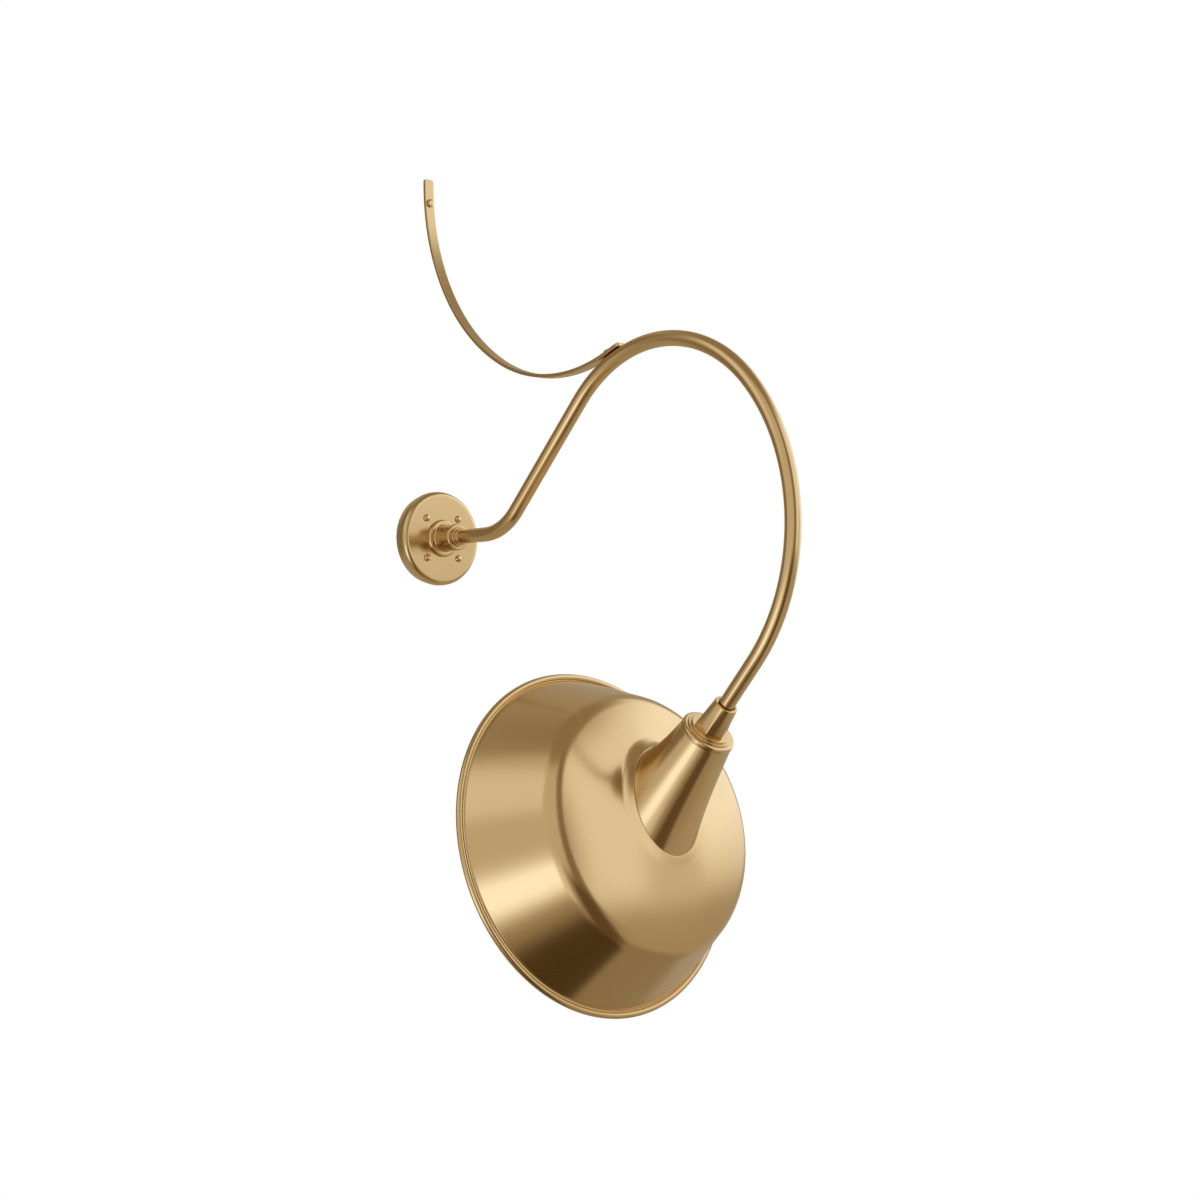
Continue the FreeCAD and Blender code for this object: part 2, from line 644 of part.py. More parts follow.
def strap_tube_screw():
    """Short round-head screw through the strap into the tube's upper wall."""
    length = STRAP_THICKNESS + TUBE_WALL + TUBE_SCREW_REACH
    screw = round_head_screw(STRAP_SCREW_RADIUS, length,
                             STRAP_SCREW_HEAD_RADIUS, STRAP_SCREW_HEAD_HEIGHT)
    return placed(screw, tube_screw_frame())


# =============================================================== arm's end
def hex_coupling():
    """Conical coupling whose foot is cut to a hexagon, recessed for the tube."""
    bore = TUBE_RADIUS + SLIP / 2
    recess = TUBE_RADIUS + COUPLING_RECESS_GAP
    floor_up = COUPLING_HEIGHT - COUPLING_RECESS_DEPTH
    cone = turned([
        (bore, 0.0),
        (COUPLING_FOOT_RADIUS, 0.0, COUPLING_FOOT_ROUNDING),
        (recess + COUPLING_TOP_WALL, COUPLING_HEIGHT, COUPLING_TOP_ROUNDING),
        (recess, COUPLING_HEIGHT, COUPLING_RECESS_ROUNDING),
        (recess, floor_up),
        (bore, floor_up),
    ])
    return placed(cone.common(hexagon(COUPLING_FLATS, 0.0, COUPLING_HEIGHT)), NECK)


def head_washer():
    top = -CAP_SHEET - CAP_DISC_STEP
    washer = ring(HEAD_WASHER_RADIUS, TUBE_RADIUS + HOLE_CLEARANCE, top - WASHER_DEPTH, top - SLIP)
    return placed(washer, NECK)


def head_nut():
    """Hexagonal nut on the tube's end, inside the neck, that carries the head."""
    top = -CAP_SHEET - CAP_DISC_STEP - WASHER_DEPTH
    return placed(hex_nut(HEAD_NUT_FLATS, TUBE_RADIUS + SLIP / 2, top - HEAD_NUT_DEPTH, top), NECK)


def lead_wire(side):
    """Insulated wire along the whole arm, from the nipple to the holder's contacts."""
    start_out = NIPPLE_OUT - NIPPLE_LENGTH
    walk = arm_walk(start_out, HOLDER_TOP + HOLDER_FLOOR - TURNING_GAP, side)
    start = FreeCAD.Vector(side, -start_out, 0)
    section = Part.Face(Part.Wire(Part.makeCircle(WIRE_RADIUS, start, FreeCAD.Vector(0, -1, 0))))
    return walk.wire().makePipe(section)


def ground_wire():
    """Bare ground wire: an eye round its screw, then along the arm to the bracket."""
    height = BAR_THICKNESS + WIRE_RADIUS
    eye = Part.makeTorus(GROUND_EYE_RADIUS, WIRE_RADIUS)
    eye.translate(FreeCAD.Vector(-GROUND_EYE_RADIUS, -GROUND_SCREW_DOWN, height))
    walk = Walk(height, -GROUND_SCREW_DOWN, 90.0)
    walk.run(GROUND_SCREW_DOWN - GROUND_WIRE_DROP - GROUND_WIRE_BEND)
    walk.bend(GROUND_WIRE_BEND, -90.0)
    follow_arm(walk, GROUND_WIRE_DROP, HOLDER_TOP - BRACKET_THICKNESS - TURNING_GAP)
    start = FreeCAD.Vector(0, -height, -GROUND_SCREW_DOWN)
    section = Part.Face(Part.Wire(Part.makeCircle(WIRE_RADIUS, start, FreeCAD.Vector(0, 0, 1))))
    return walk.wire().makePipe(section).fuse(placed(eye, WALL))


# =================================================================== head
def neck_cap():
    """Turned cap: raised disc, ring and rounded lip, with a skirt in the neck."""
    skirt_inside = CAP_SKIRT_RADIUS - CAP_SHEET
    ring_top = -CAP_DISC_STEP
    lip_top = ring_top - CAP_RING_STEP
    lip_bottom = lip_top - CAP_LIP_DEPTH
    under = -CAP_DISC_STEP - CAP_SHEET
    outline = [
        (TUBE_RADIUS + RUNNING, 0.0),
        (CAP_DISC_RADIUS, 0.0, CAP_STEP_ROUNDING),
        (CAP_DISC_RADIUS, ring_top),
        (CAP_RING_RADIUS, ring_top, CAP_STEP_ROUNDING),
        (CAP_RING_RADIUS, lip_top),
        (CAP_LIP_RADIUS, lip_top, CAP_LIP_ROUNDING),
        (CAP_LIP_RADIUS, lip_bottom, CAP_LIP_EDGE_ROUNDING),
        (CAP_SKIRT_RADIUS, lip_bottom),
        (CAP_SKIRT_RADIUS, lip_bottom - CAP_SKIRT_DEPTH),
        (skirt_inside, lip_bottom - CAP_SKIRT_DEPTH),
        (skirt_inside, under, CAP_INSIDE_ROUNDING),
        (TUBE_RADIUS + RUNNING, under),
    ]
    cap = turned(outline)
    depth = BRACKET_SCREW_LENGTH - BRACKET_THICKNESS + HOLE_CLEARANCE
    for side in (-1, 1):
        hole = rod(BRACKET_SCREW_RADIUS + SLIP / 2, under - CUT_PAST, under + depth,
                   side * bracket_screw_offset())
        cap = cap.cut(hole)
    return placed(cap, NECK)


def neck_top():
    """Height of the neck's upper edge, at the underside of the cap's lip."""
    return -CAP_DISC_STEP - CAP_RING_STEP - CAP_LIP_DEPTH


def circle_section(radius, height):
    """Round section of the neck, starting on the neck's upper side."""
    circle = Part.Circle(FreeCAD.Vector(0, 0, height), FreeCAD.Vector(0, 0, 1), radius)
    wire = Part.Wire(circle.toShape())
    wire.rotate(FreeCAD.Vector(0, 0, 0), FreeCAD.Vector(0, 0, 1), 90)
    return placed(wire, NECK)


def foot_section(growth, height):
    """Oval section of the neck's foot in the shade's frame."""
    centre = FreeCAD.Vector(0, FOOT_CENTRE, height)
    tip = centre + FreeCAD.Vector(0, FOOT_HALF_LENGTH + growth, 0)
    flank = centre + FreeCAD.Vector(-FOOT_HALF_WIDTH - growth, 0, 0)
    return placed(Part.Wire(Part.Ellipse(tip, flank, centre).toShape()), SHADE)


def neck_skin(inset, reach):
    """Smooth flared body of the neck, inset, and longer by reach at both ends."""
    taper = math.tan(math.radians(NECK_TAPER))
    sections = [circle_section(NECK_TOP_RADIUS - inset - reach * taper, neck_top() + reach)]
    for depth, radius in NECK_FLARE:
        sections.append(circle_section(radius - inset, -depth))
    sections.append(foot_section(reach * FOOT_SPLAY - inset, FOOT_UP - reach))
    return Part.makeLoft(sections, True, False)


def neck():
    """Spun conical neck that flares to an oval foot on the tilted shade."""
    return neck_skin(0.0, 0.0).cut(neck_skin(NECK_SHEET, NECK_SHEET))


def shade_profile(inset):
    """Outer or inset outline of the shade as (radius, height) vectors.

    Returns the wall's straight line from the bead to the shoulder, the
    shoulder's arc and the crown's arc, each tangent to the next.
    """
    flare = math.radians(WALL_FLARE)
    slope = FreeCAD.Vector(-math.sin(flare), 0, math.cos(flare))
    outward = FreeCAD.Vector(math.cos(flare), 0, math.sin(flare))
    bead = FreeCAD.Vector(RIM_RADIUS - BEAD_RADIUS, 0, BEAD_RADIUS)
    wall_foot = bead - outward * (BEAD_RADIUS - SHADE_SHEET + inset)
    crown_centre = FreeCAD.Vector(0, 0, CROWN_UP - CROWN_RADIUS)
    shoulder_line = bead - outward * (BEAD_RADIUS - SHADE_SHEET + SHOULDER_RADIUS)
    gap = shoulder_line - crown_centre
    reach = CROWN_RADIUS - SHOULDER_RADIUS
    middle = gap.dot(slope)
    run = -middle + math.sqrt(middle ** 2 - gap.dot(gap) + reach ** 2)
    centre = shoulder_line + slope * run
    radial = (centre - crown_centre).normalize()
    radius = SHOULDER_RADIUS - inset
    crown_radius = CROWN_RADIUS - inset
    wall_top = centre + outward * radius
    crown_edge = centre + radial * radius
    bisector = (outward + radial).normalize()
    crown_top = crown_centre + FreeCAD.Vector(0, 0, crown_radius)
    half_way = (radial + FreeCAD.Vector(0, 0, 1)).normalize()
    shoulder = arc(wall_top, centre + bisector * radius, crown_edge)
    crown = arc(crown_edge, crown_centre + half_way * crown_radius, crown_top)
    return wall_foot, wall_top, shoulder, crown, crown_top


def shade_body(inset):
    """Solid bowl under the shade's outer or inset outline."""
    foot, top, shoulder, crown, crown_top = shade_profile(inset)
    flare = math.tan(math.radians(WALL_FLARE))
    mouth = FreeCAD.Vector(foot.x + foot.z * flare, 0, 0)
    axis_foot = FreeCAD.Vector(0, 0, 0)
    wire = Part.Wire([line(mouth, top), shoulder, crown, line(crown_top, axis_foot),
                      line(axis_foot, mouth)])
    return Part.Face(wire).revolve(FreeCAD.Vector(0, 0, 0), FreeCAD.Vector(0, 0, 1), 360)


def collar_body(inset):
    """Drawn-up collar of the shade, from inside the crown to the neck's foot."""
    low = foot_section(COLLAR_LIP + COLLAR_SPREAD - inset, FOOT_UP - COLLAR_SINK)
    high = foot_section(COLLAR_LIP - inset * COLLAR_INSET, FOOT_UP - inset)
    return Part.makeLoft([low, high], True, True)


def shade():
    """Spun shade: rolled bead, flared wall, round shoulder, crown and collar."""
    outer = placed(shade_body(0.0), SHADE).fuse(collar_body(0.0))
    inner = placed(shade_body(SHADE_SHEET), SHADE).fuse(collar_body(SHADE_SHEET))
    opening = Part.makeLoft([foot_section(-SHADE_LEDGE, FOOT_UP - 2 * COLLAR_SINK),
                             foot_section(-SHADE_LEDGE, FOOT_UP + COLLAR_SINK)], True, True)
    bead_centre = FreeCAD.Vector(0, 0, BEAD_RADIUS)
    bead = Part.makeTorus(RIM_RADIUS - BEAD_RADIUS, BEAD_RADIUS, bead_centre, FreeCAD.Vector(0, 0, 1))
    mouth = placed(rod(RIM_RADIUS + CUT_PAST, -CUT_PAST, BEAD_RADIUS), SHADE)
    sheet = outer.cut(inner).cut(opening).cut(mouth)
    return sheet.fuse(placed(bead, SHADE))


# ============================================================ lamp holder
def holder_bracket():
    """U-shaped steel bracket: two feet under the cap, a bar above the holder."""
    half = BRACKET_LEG_OUT
    top = -CAP_DISC_STEP - CAP_SHEET
    bottom = -HOLDER_TOP
    outer = [(half, top), (half, bottom, BRACKET_BEND), (-half, bottom, BRACKET_BEND), (-half, top)]
    inner_half = half - BRACKET_THICKNESS
    inner_bend = BRACKET_BEND - BRACKET_THICKNESS
    foot = inner_half - BRACKET_FOOT
    floor_up = bottom + BRACKET_THICKNESS
    foot_down = top - BRACKET_THICKNESS
    inner = [(-foot, top), (-foot, foot_down), (-inner_half, foot_down),
             (-inner_half, floor_up, inner_bend), (inner_half, floor_up, inner_bend),
             (inner_half, foot_down), (foot, foot_down), (foot, top)]
    face = rounded_face(outer + inner, lambda x, z: FreeCAD.Vector(x, -BRACKET_WIDTH / 2, z))
    bracket = face.extrude(FreeCAD.Vector(0, BRACKET_WIDTH, 0))
    bracket = bracket.cut(rod(WIRE_SPREAD + 2 * WIRE_RADIUS, bottom - CUT_PAST, floor_up + CUT_PAST))
    hole = BRACKET_SCREW_RADIUS + HOLE_CLEARANCE
    for side in (-1, 1):
        lower = rod(hole, bottom - CUT_PAST, floor_up + CUT_PAST, side * HOLDER_SCREW_SPACING / 2)
        upper = rod(hole, foot_down - CUT_PAST, top + CUT_PAST, side * bracket_screw_offset())
        bracket = bracket.cut(lower).cut(upper)
    return placed(bracket, NECK)


def small_screw(length):
    return round_head_screw(BRACKET_SCREW_RADIUS, length,
                            BRACKET_SCREW_HEAD_RADIUS, BRACKET_SCREW_HEAD_HEIGHT)


def bracket_screw_offset():
    """Distance from the neck's axis to the screw in the middle of a foot."""
    return BRACKET_LEG_OUT - BRACKET_THICKNESS - BRACKET_FOOT / 2


def bracket_screws():
    """Two screws through the bracket's feet, up into the cap."""
    seat = -CAP_DISC_STEP - CAP_SHEET - BRACKET_THICKNESS
    screws = []
    for side in (-1, 1):
        screw = small_screw(BRACKET_SCREW_LENGTH)
        screw.rotate(FreeCAD.Vector(0, 0, 0), FreeCAD.Vector(0, 1, 0), 180)
        screw.translate(FreeCAD.Vector(side * bracket_screw_offset(), 0, seat))
        screws.append(screw)
    return placed(Part.Compound(screws), NECK)


def holder_screws():
    """Two screws through the bracket into the porcelain holder."""
    screws = []
    for side in (-1, 1):
        screw = small_screw(BRACKET_THICKNESS + HOLDER_SCREW_LENGTH)
        screw.translate(FreeCAD.Vector(side * HOLDER_SCREW_SPACING / 2, 0,
                                       BRACKET_THICKNESS - HOLDER_TOP))
        screws.append(screw)
    return placed(Part.Compound(screws), NECK)


def lamp_holder():
    """Porcelain holder: closed top with a wire hole, open cup for the lamp."""
    shell_radius = LAMP_CAP_RADIUS + TURNING_GAP + SHELL_SHEET
    wire_hole = WIRE_SPREAD + 2 * WIRE_RADIUS
    top = -HOLDER_TOP
    bottom = top - HOLDER_LENGTH
    cup_top = top - HOLDER_FLOOR
    outline = [
        (wire_hole, top),
        (HOLDER_RADIUS - HOLDER_TOP_INSET, top, HOLDER_TOP_INSET),
        (HOLDER_RADIUS, top - HOLDER_SHOULDER_DOWN, HOLDER_SHOULDER_ROUNDING),
        (HOLDER_RADIUS, bottom, HOLDER_MOUTH_ROUNDING),
        (shell_radius + SLIP, bottom, HOLDER_CUP_ROUNDING),
        (shell_radius + SLIP, cup_top),
        (wire_hole, cup_top),
    ]
    holder = turned(outline)
    for side in (-1, 1):
        hole = rod(BRACKET_SCREW_RADIUS + SLIP / 2, top - HOLDER_SCREW_LENGTH - HOLE_CLEARANCE,
                   top + CUT_PAST, side * HOLDER_SCREW_SPACING / 2)
        holder = holder.cut(hole)
    return placed(holder, NECK)


def holder_shell():
    """Brass screw shell that lines the holder's cup."""
    inner = LAMP_CAP_RADIUS + TURNING_GAP
    bottom = -HOLDER_TOP - HOLDER_LENGTH + SHELL_SET_BACK
    top = bottom + SHELL_DEPTH
    outline = [
        (inner, bottom),
        (inner + SHELL_SHEET, bottom),
        (inner + SHELL_SHEET, top),
        (CONTACT_PLATE_RADIUS, top),
        (CONTACT_PLATE_RADIUS, top - SHELL_SHEET),
        (inner, top - SHELL_SHEET),
    ]
    return placed(turned(outline), NECK)


def holder_contact():
    """Centre contact on the floor of the holder's cup."""
    cup_top = -HOLDER_TOP - HOLDER_FLOOR
    tip = -HOLDER_TOP - HOLDER_LENGTH + lamp_top_above_mouth() + TURNING_GAP
    under = cup_top - CONTACT_SHEET
    plate = ring(CONTACT_PLATE_RADIUS, CONTACT_RADIUS, under, cup_top)
    tongue = turned([(0.0, tip), (CONTACT_RADIUS - CONTACT_TAPER, tip),
                     (CONTACT_RADIUS + CONTACT_TAPER, under), (CONTACT_RADIUS + CONTACT_TAPER, cup_top),
                     (CONTACT_RADIUS, cup_top), (0.0, tip + CONTACT_SHEET)])
    return placed(plate.fuse(tongue), NECK)


# =================================================================== lamp
def lamp_top_above_mouth():
    """Height of the lamp's contact above the holder's mouth when screwed in."""
    return LAMP_CAP_LENGTH - LAMP_CAP_BELOW


def lamp_base():
    """Screw cap of the lamp with rounded thread ridges and an insulated top."""
    mouth = -HOLDER_TOP - HOLDER_LENGTH
    top = mouth + lamp_top_above_mouth()
    bottom = top - LAMP_CAP_LENGTH
    insulator_radius, insulator_depth = LAMP_INSULATOR
    outline = [(0.0, top), (LAMP_TIP_RADIUS, top, LAMP_TIP_ROUNDING),
               (insulator_radius, top - insulator_depth), (LAMP_CAP_ROOT, top - LAMP_CAP_EDGE_DOWN)]
    height = top - LAMP_FIRST_RIDGE_DOWN
    for ridge in range(LAMP_THREADS):
        outline.append((LAMP_CAP_ROOT, height, LAMP_RIDGE_ROUNDING))
        outline.append((LAMP_CAP_RADIUS, height - LAMP_RIDGE, LAMP_RIDGE_ROUNDING))
        outline.append((LAMP_CAP_RADIUS, height - 2 * LAMP_RIDGE, LAMP_RIDGE_ROUNDING))
        outline.append((LAMP_CAP_ROOT, height - 3 * LAMP_RIDGE, LAMP_RIDGE_ROUNDING))
        height -= LAMP_THREAD_PITCH
    outline.append((LAMP_CAP_ROOT, height + LAMP_RIDGE, LAMP_RIDGE_ROUNDING))
    outline.append((LAMP_CAP_RADIUS, height, LAMP_RIDGE_ROUNDING))
    outline.append((LAMP_CAP_RADIUS, bottom))
    outline.append((0.0, bottom))
    return placed(turned(outline), NECK)


def lamp_glass():
    """Pear-shaped glass envelope, hollow, closed onto the cap."""
    mouth = -HOLDER_TOP - HOLDER_LENGTH
    top = mouth + lamp_top_above_mouth() - LAMP_CAP_LENGTH
    tip = top - LAMP_GLASS_LENGTH
    belly = tip + LAMP_GLASS_RADIUS

    def envelope(inset):
        neck_radius = LAMP_NECK_RADIUS - inset
        belly_radius = LAMP_GLASS_RADIUS - inset
        wide = belly_radius * math.cos(LAMP_BELLY_ANGLE)
        high = belly_radius * math.sin(LAMP_BELLY_ANGLE)
        flank = FreeCAD.Vector(wide, 0, belly + high)
        tangent = FreeCAD.Vector(-math.sin(LAMP_BELLY_ANGLE), 0, math.cos(LAMP_BELLY_ANGLE))
        throat = FreeCAD.Vector(neck_radius, 0, top - LAMP_THROAT_LENGTH)
        curve = Part.BezierCurve()
        curve.setPoles([flank, flank + tangent * LAMP_FLANK_PULL,
                        throat - FreeCAD.Vector(0, 0, LAMP_FLANK_PULL), throat])
        pole = FreeCAD.Vector(0, 0, belly - belly_radius)
        side = FreeCAD.Vector(wide, 0, belly - high)
        upper = FreeCAD.Vector(neck_radius, 0, top)
        centre = FreeCAD.Vector(0, 0, top)
        wire = Part.Wire([arc(pole, side, flank), curve.toShape(), line(throat, upper),
                          line(upper, centre), line(centre, pole)])
        return Part.Face(wire).revolve(FreeCAD.Vector(0, 0, 0), FreeCAD.Vector(0, 0, 1), 360)

    glass = envelope(0.0).cut(envelope(LAMP_GLASS_SHEET))
    return placed(glass, NECK)


# ================================================================== build
PIECES = {
    "wall_plate": wall_plate,
    "wall_gasket": wall_gasket,
    "mounting_bar": mounting_bar,
    "plate_screws": plate_screws,
    "ground_screw": ground_screw,
    "ground_wire": ground_wire,
    "hub": hub,
    "hub_collar": hub_collar,
    "hub_nipple": hub_nipple,
    "hub_washer": hub_washer,
    "hub_nut": hub_nut,
    "gooseneck_tube": gooseneck_tube,
    "brace_strap": brace_strap,
    "strap_wall_screw": strap_wall_screw,
    "strap_tube_screw": strap_tube_screw,
    "hex_coupling": hex_coupling,
    "head_washer": head_washer,
    "head_nut": head_nut,
    "live_wire": lambda: lead_wire(-WIRE_SPREAD / 2),
    "neutral_wire": lambda: lead_wire(WIRE_SPREAD / 2),
    "neck_cap": neck_cap,
    "neck": neck,
    "shade": shade,
    "holder_bracket": holder_bracket,
    "bracket_screws": bracket_screws,
    "holder_screws": holder_screws,
    "lamp_holder": lamp_holder,
    "holder_shell": holder_shell,
    "holder_contact": holder_contact,
    "lamp_base": lamp_base,
    "lamp_glass": lamp_glass,
}

os.makedirs("parts", exist_ok=True)
for name, make in PIECES.items():
    make().exportStep("parts/" + name + ".step")
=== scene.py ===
import math

import bmesh
import bpy
import numpy as np
from mathutils import Matrix, Vector


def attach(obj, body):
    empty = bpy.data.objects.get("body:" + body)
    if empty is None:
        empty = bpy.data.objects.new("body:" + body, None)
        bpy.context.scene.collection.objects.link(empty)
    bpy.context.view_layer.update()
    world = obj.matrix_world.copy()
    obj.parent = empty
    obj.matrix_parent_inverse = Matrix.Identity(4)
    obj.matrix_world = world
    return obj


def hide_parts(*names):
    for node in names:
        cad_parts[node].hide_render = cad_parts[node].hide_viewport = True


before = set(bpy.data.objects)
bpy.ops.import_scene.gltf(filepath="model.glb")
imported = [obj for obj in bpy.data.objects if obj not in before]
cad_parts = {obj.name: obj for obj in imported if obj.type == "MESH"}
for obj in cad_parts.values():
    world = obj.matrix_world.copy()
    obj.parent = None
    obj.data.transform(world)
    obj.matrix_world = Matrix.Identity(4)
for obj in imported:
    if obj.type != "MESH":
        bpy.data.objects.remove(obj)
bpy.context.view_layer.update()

# ---------------------------------------------------------------------------
# Wall plate. Spun brass, 1.5 mm thick: a side that swells a little from the wall,
# turned over softly into a flat face. Four round heads hold it to the bar behind.
# Drawings here are in millimetres, and meshes are made in metres.


def rounded_line(corners, arc_step=7.0, edge=0.3):
    """Line through corners (a, b, rounding), each turned by a tangent arc.

    Returns its points and the unit normals on the left of its run. A point
    stands near both ends of each straight stretch, so its shading stays flat.
    """
    spots = np.array([corner[:2] for corner in corners], float)
    rounding = [corner[2] if len(corner) > 2 else 0.15 for corner in corners]
    runs = np.diff(spots, axis=0)
    lengths = np.linalg.norm(runs, axis=1)
    headings = np.unwrap(np.arctan2(runs[:, 1], runs[:, 0]))
    points, normals = [], []
    used = 0.0
    for i, length in enumerate(lengths):
        along = np.array([math.cos(headings[i]), math.sin(headings[i])])
        left = np.array([-along[1], along[0]])
        last = i == len(lengths) - 1
        turn = 0.0 if last else headings[i + 1] - headings[i]
        reach = 0.0 if last else rounding[i + 1] * math.tan(abs(turn) / 2)
        end = length - reach
        near = min(edge, (end - used) / 4)
        stops = np.array([used, used + near, end - near, end])
        points.append(spots[i] + stops[:, None] * along)
        normals.append(np.repeat(left[None], 4, axis=0))
        if not last:
            side = math.copysign(1.0, turn)
            centre = points[-1][-1] + side * rounding[i + 1] * left
            steps = max(2, math.ceil(math.degrees(abs(turn)) / arc_step))
            angles = headings[i] + np.linspace(0, turn, steps + 1)[1:-1]
            across = np.stack([-np.sin(angles), np.cos(angles)], axis=1)
            points.append(centre - side * rounding[i + 1] * across)
            normals.append(across)
        used = reach
    return np.concatenate(points), np.concatenate(normals)


def closed_line(corners):
    """Rounded outline that closes on itself, started halfway along one side."""
    middle = tuple((np.array(corners[0][:2]) + np.array(corners[-1][:2])) / 2)
    return rounded_line([middle] + list(corners) + [middle])[0][:-1]


def sheet_line(corners, sheet):
    """Outline of a bent sheet: its outer line, and back along a line moved in."""
    points, normals = rounded_line(corners)
    return np.concatenate([points, (points + sheet * normals)[::-1]])


def axes_at(out, up, heading):
    """Drawing frame at (out, up) from the wall, with its Z axis at a heading above outward."""
    c, s = math.cos(math.radians(heading)), math.sin(math.radians(heading))
    return (np.array([0.0, -out, up]), np.array([1.0, 0, 0]),
            np.array([0.0, s, c]), np.array([0.0, -c, s]))


def in_axes(axes, x, y, z):
    """Points x X + y Y + z Z from a drawing frame's origin."""
    origin, ax, ay, az = axes
    return origin + x[..., None] * ax + y[..., None] * ay + z[..., None] * az


def grid_piece(name, points, body, rows_close=True, replaces=()):
    """Piece from a grid of points P[row, column], where columns close on themselves.

    Rows close too, or end in a point or an edge that is welded shut.
    """
    rows, columns = points.shape[:2]
    index = np.arange(rows * columns).reshape(rows, columns)
    if rows_close:
        index = np.vstack([index, index[:1]])
    index = np.hstack([index, index[:, :1]])
    quads = np.stack([index[:-1, :-1], index[1:, :-1], index[1:, 1:], index[:-1, 1:]], axis=-1)
    mesh = bpy.data.meshes.new(name)
    mesh.from_pydata((points.reshape(-1, 3) / 1000).tolist(), [], quads.reshape(-1, 4).tolist())
    seam = bmesh.new()
    seam.from_mesh(mesh)
    bmesh.ops.remove_doubles(seam, verts=seam.verts, dist=1e-7)
    bmesh.ops.recalc_face_normals(seam, faces=seam.faces)
    seam.to_mesh(mesh)
    seam.free()
    mesh.shade_smooth()
    piece = bpy.data.objects.new(name, mesh)
    bpy.context.collection.objects.link(piece)
    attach(piece, body)
    if replaces:
        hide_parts(*replaces)
    return piece


def turned(name, outline, axes, body, around=96, replaces=(), rows_close=True):
    """Turned piece: each outline point (r, h) goes round as r cos t Y - r sin t X + h Z."""
    t = np.linspace(0, 2 * math.pi, around, endpoint=False)
    r, h = outline[:, :1], outline[:, 1:]
    points = in_axes(axes, -r * np.sin(t), r * np.cos(t), h + 0 * t)
    return grid_piece(name, points, body, rows_close, replaces)


class Level:
    """A number that varies over a surface. Arithmetic on it adds Math nodes."""

    def __init__(self, finish, socket):
        self.finish = finish
        self.socket = socket

    def math(self, operation, first, second):
        return self.finish.add("ShaderNodeMath", {"operation": operation}, {0: first, 1: second})

    def __add__(self, other):
        return self.math("ADD", self, other)

    def __mul__(self, other):
        return self.math("MULTIPLY", self, other)

    __radd__ = __add__
    __rmul__ = __mul__


class Finish:
    """Material of nodes, with one way to add a node."""

    def __init__(self, name):
        self.material = bpy.data.materials.new(name)
        self.material.use_nodes = True
        self.tree = self.material.node_tree
        self.tree.nodes.clear()
        self.surface = self.add("ShaderNodeBsdfPrincipled", {}, {})
        self.add("ShaderNodeOutputMaterial", {}, {"Surface": self.surface})
        self.place = self.add("ShaderNodeTexCoord", {}, {}, "Object")

    def add(self, kind, settings, sockets, output=0):
        """Adds a node, sets its settings and then its sockets, and returns one output."""
        node = self.tree.nodes.new(kind)
        for key, value in settings.items():
            setattr(node, key, value)
        self.feed(node, sockets)
        if not node.outputs:
            return None
        return Level(self, node.outputs[output])

    def feed(self, node, sockets):
        """Links a level to each socket of a node, or sets its plain value."""
        for key, value in sockets.items():
            if isinstance(value, Level):
                self.tree.links.new(value.socket, node.inputs[key])
            else:
                node.inputs[key].default_value = value

    def give(self, sockets):
        """Feeds the sockets of the surface's shader, and returns the material."""
        self.feed(self.surface.socket.node, sockets)
        return self.material

    def noise(self, scale, detail):
        """Cloudy level from 0 to 1, with about scale clouds to the metre."""
        return self.add("ShaderNodeTexNoise", {},
                        {"Vector": self.place, "Scale": scale, "Detail": detail})

    def blend(self, amount, first, second):
        """Colour between two colours."""
        return self.add("ShaderNodeMix", {"data_type": "RGBA"},
                        {"Factor": amount, "A": first, "B": second}, "Result")

    def relief(self, height, depth):
        """Normal of a surface that is raised by a level times a depth in metres."""
        return self.add("ShaderNodeBump", {}, {"Height": height, "Distance": depth, "Strength": 1.0})


def dress(material, *names):
    """Gives a material to pieces by name, and to the CAD nodes of that name."""
    for name in names:
        data = bpy.data.objects[name].data
        data.materials.clear()
        data.materials.append(material)


def satin_brass(name, dull=0.165):
    """Lacquered satin brass: soft clouds in its tone, and a fine grain in its surface."""
    brass = Finish(name)
    clouds = brass.noise(9.0, 3.0)
    grains = brass.noise(170.0, 2.0)
    return brass.give({
        "Base Color": brass.blend(clouds, (0.66, 0.475, 0.24, 1), (0.73, 0.535, 0.28, 1)),
        "Roughness": dull + 0.04 * clouds + 0.02 * grains,
        "Metallic": 1.0,
        "Normal": brass.relief(grains, 0.000003),
    })


wall_axes = axes_at(0.0, 0.0, 0.0)
plate_face, plate_sheet = 23.3, 1.5
plate_line = sheet_line([(61.2, 0.0), (64.2, 12.0, 12.0), (63.5, plate_face, 6.5),
                         (7.05, plate_face)], plate_sheet)
turned("plate", plate_line, wall_axes, "arm", 160, ["wall_plate"])


def head_line(radius, height, side, shank, length):
    """Outline (r, h) of a round head and its shank: an ellipse on a short upright side."""
    a = np.linspace(math.pi / 2, 0, 14)
    dome = np.stack([radius * np.cos(a), side + (height - side) * np.sin(a)], axis=1)
    dome[0, 0] = 0.0
    below = rounded_line([(radius, side - 0.05), (radius, 0.0, 0.2), (shank, 0.0, 0.1),
                          (shank, -length, 0.3), (0.0, -length)])[0]
    return np.concatenate([dome, below])


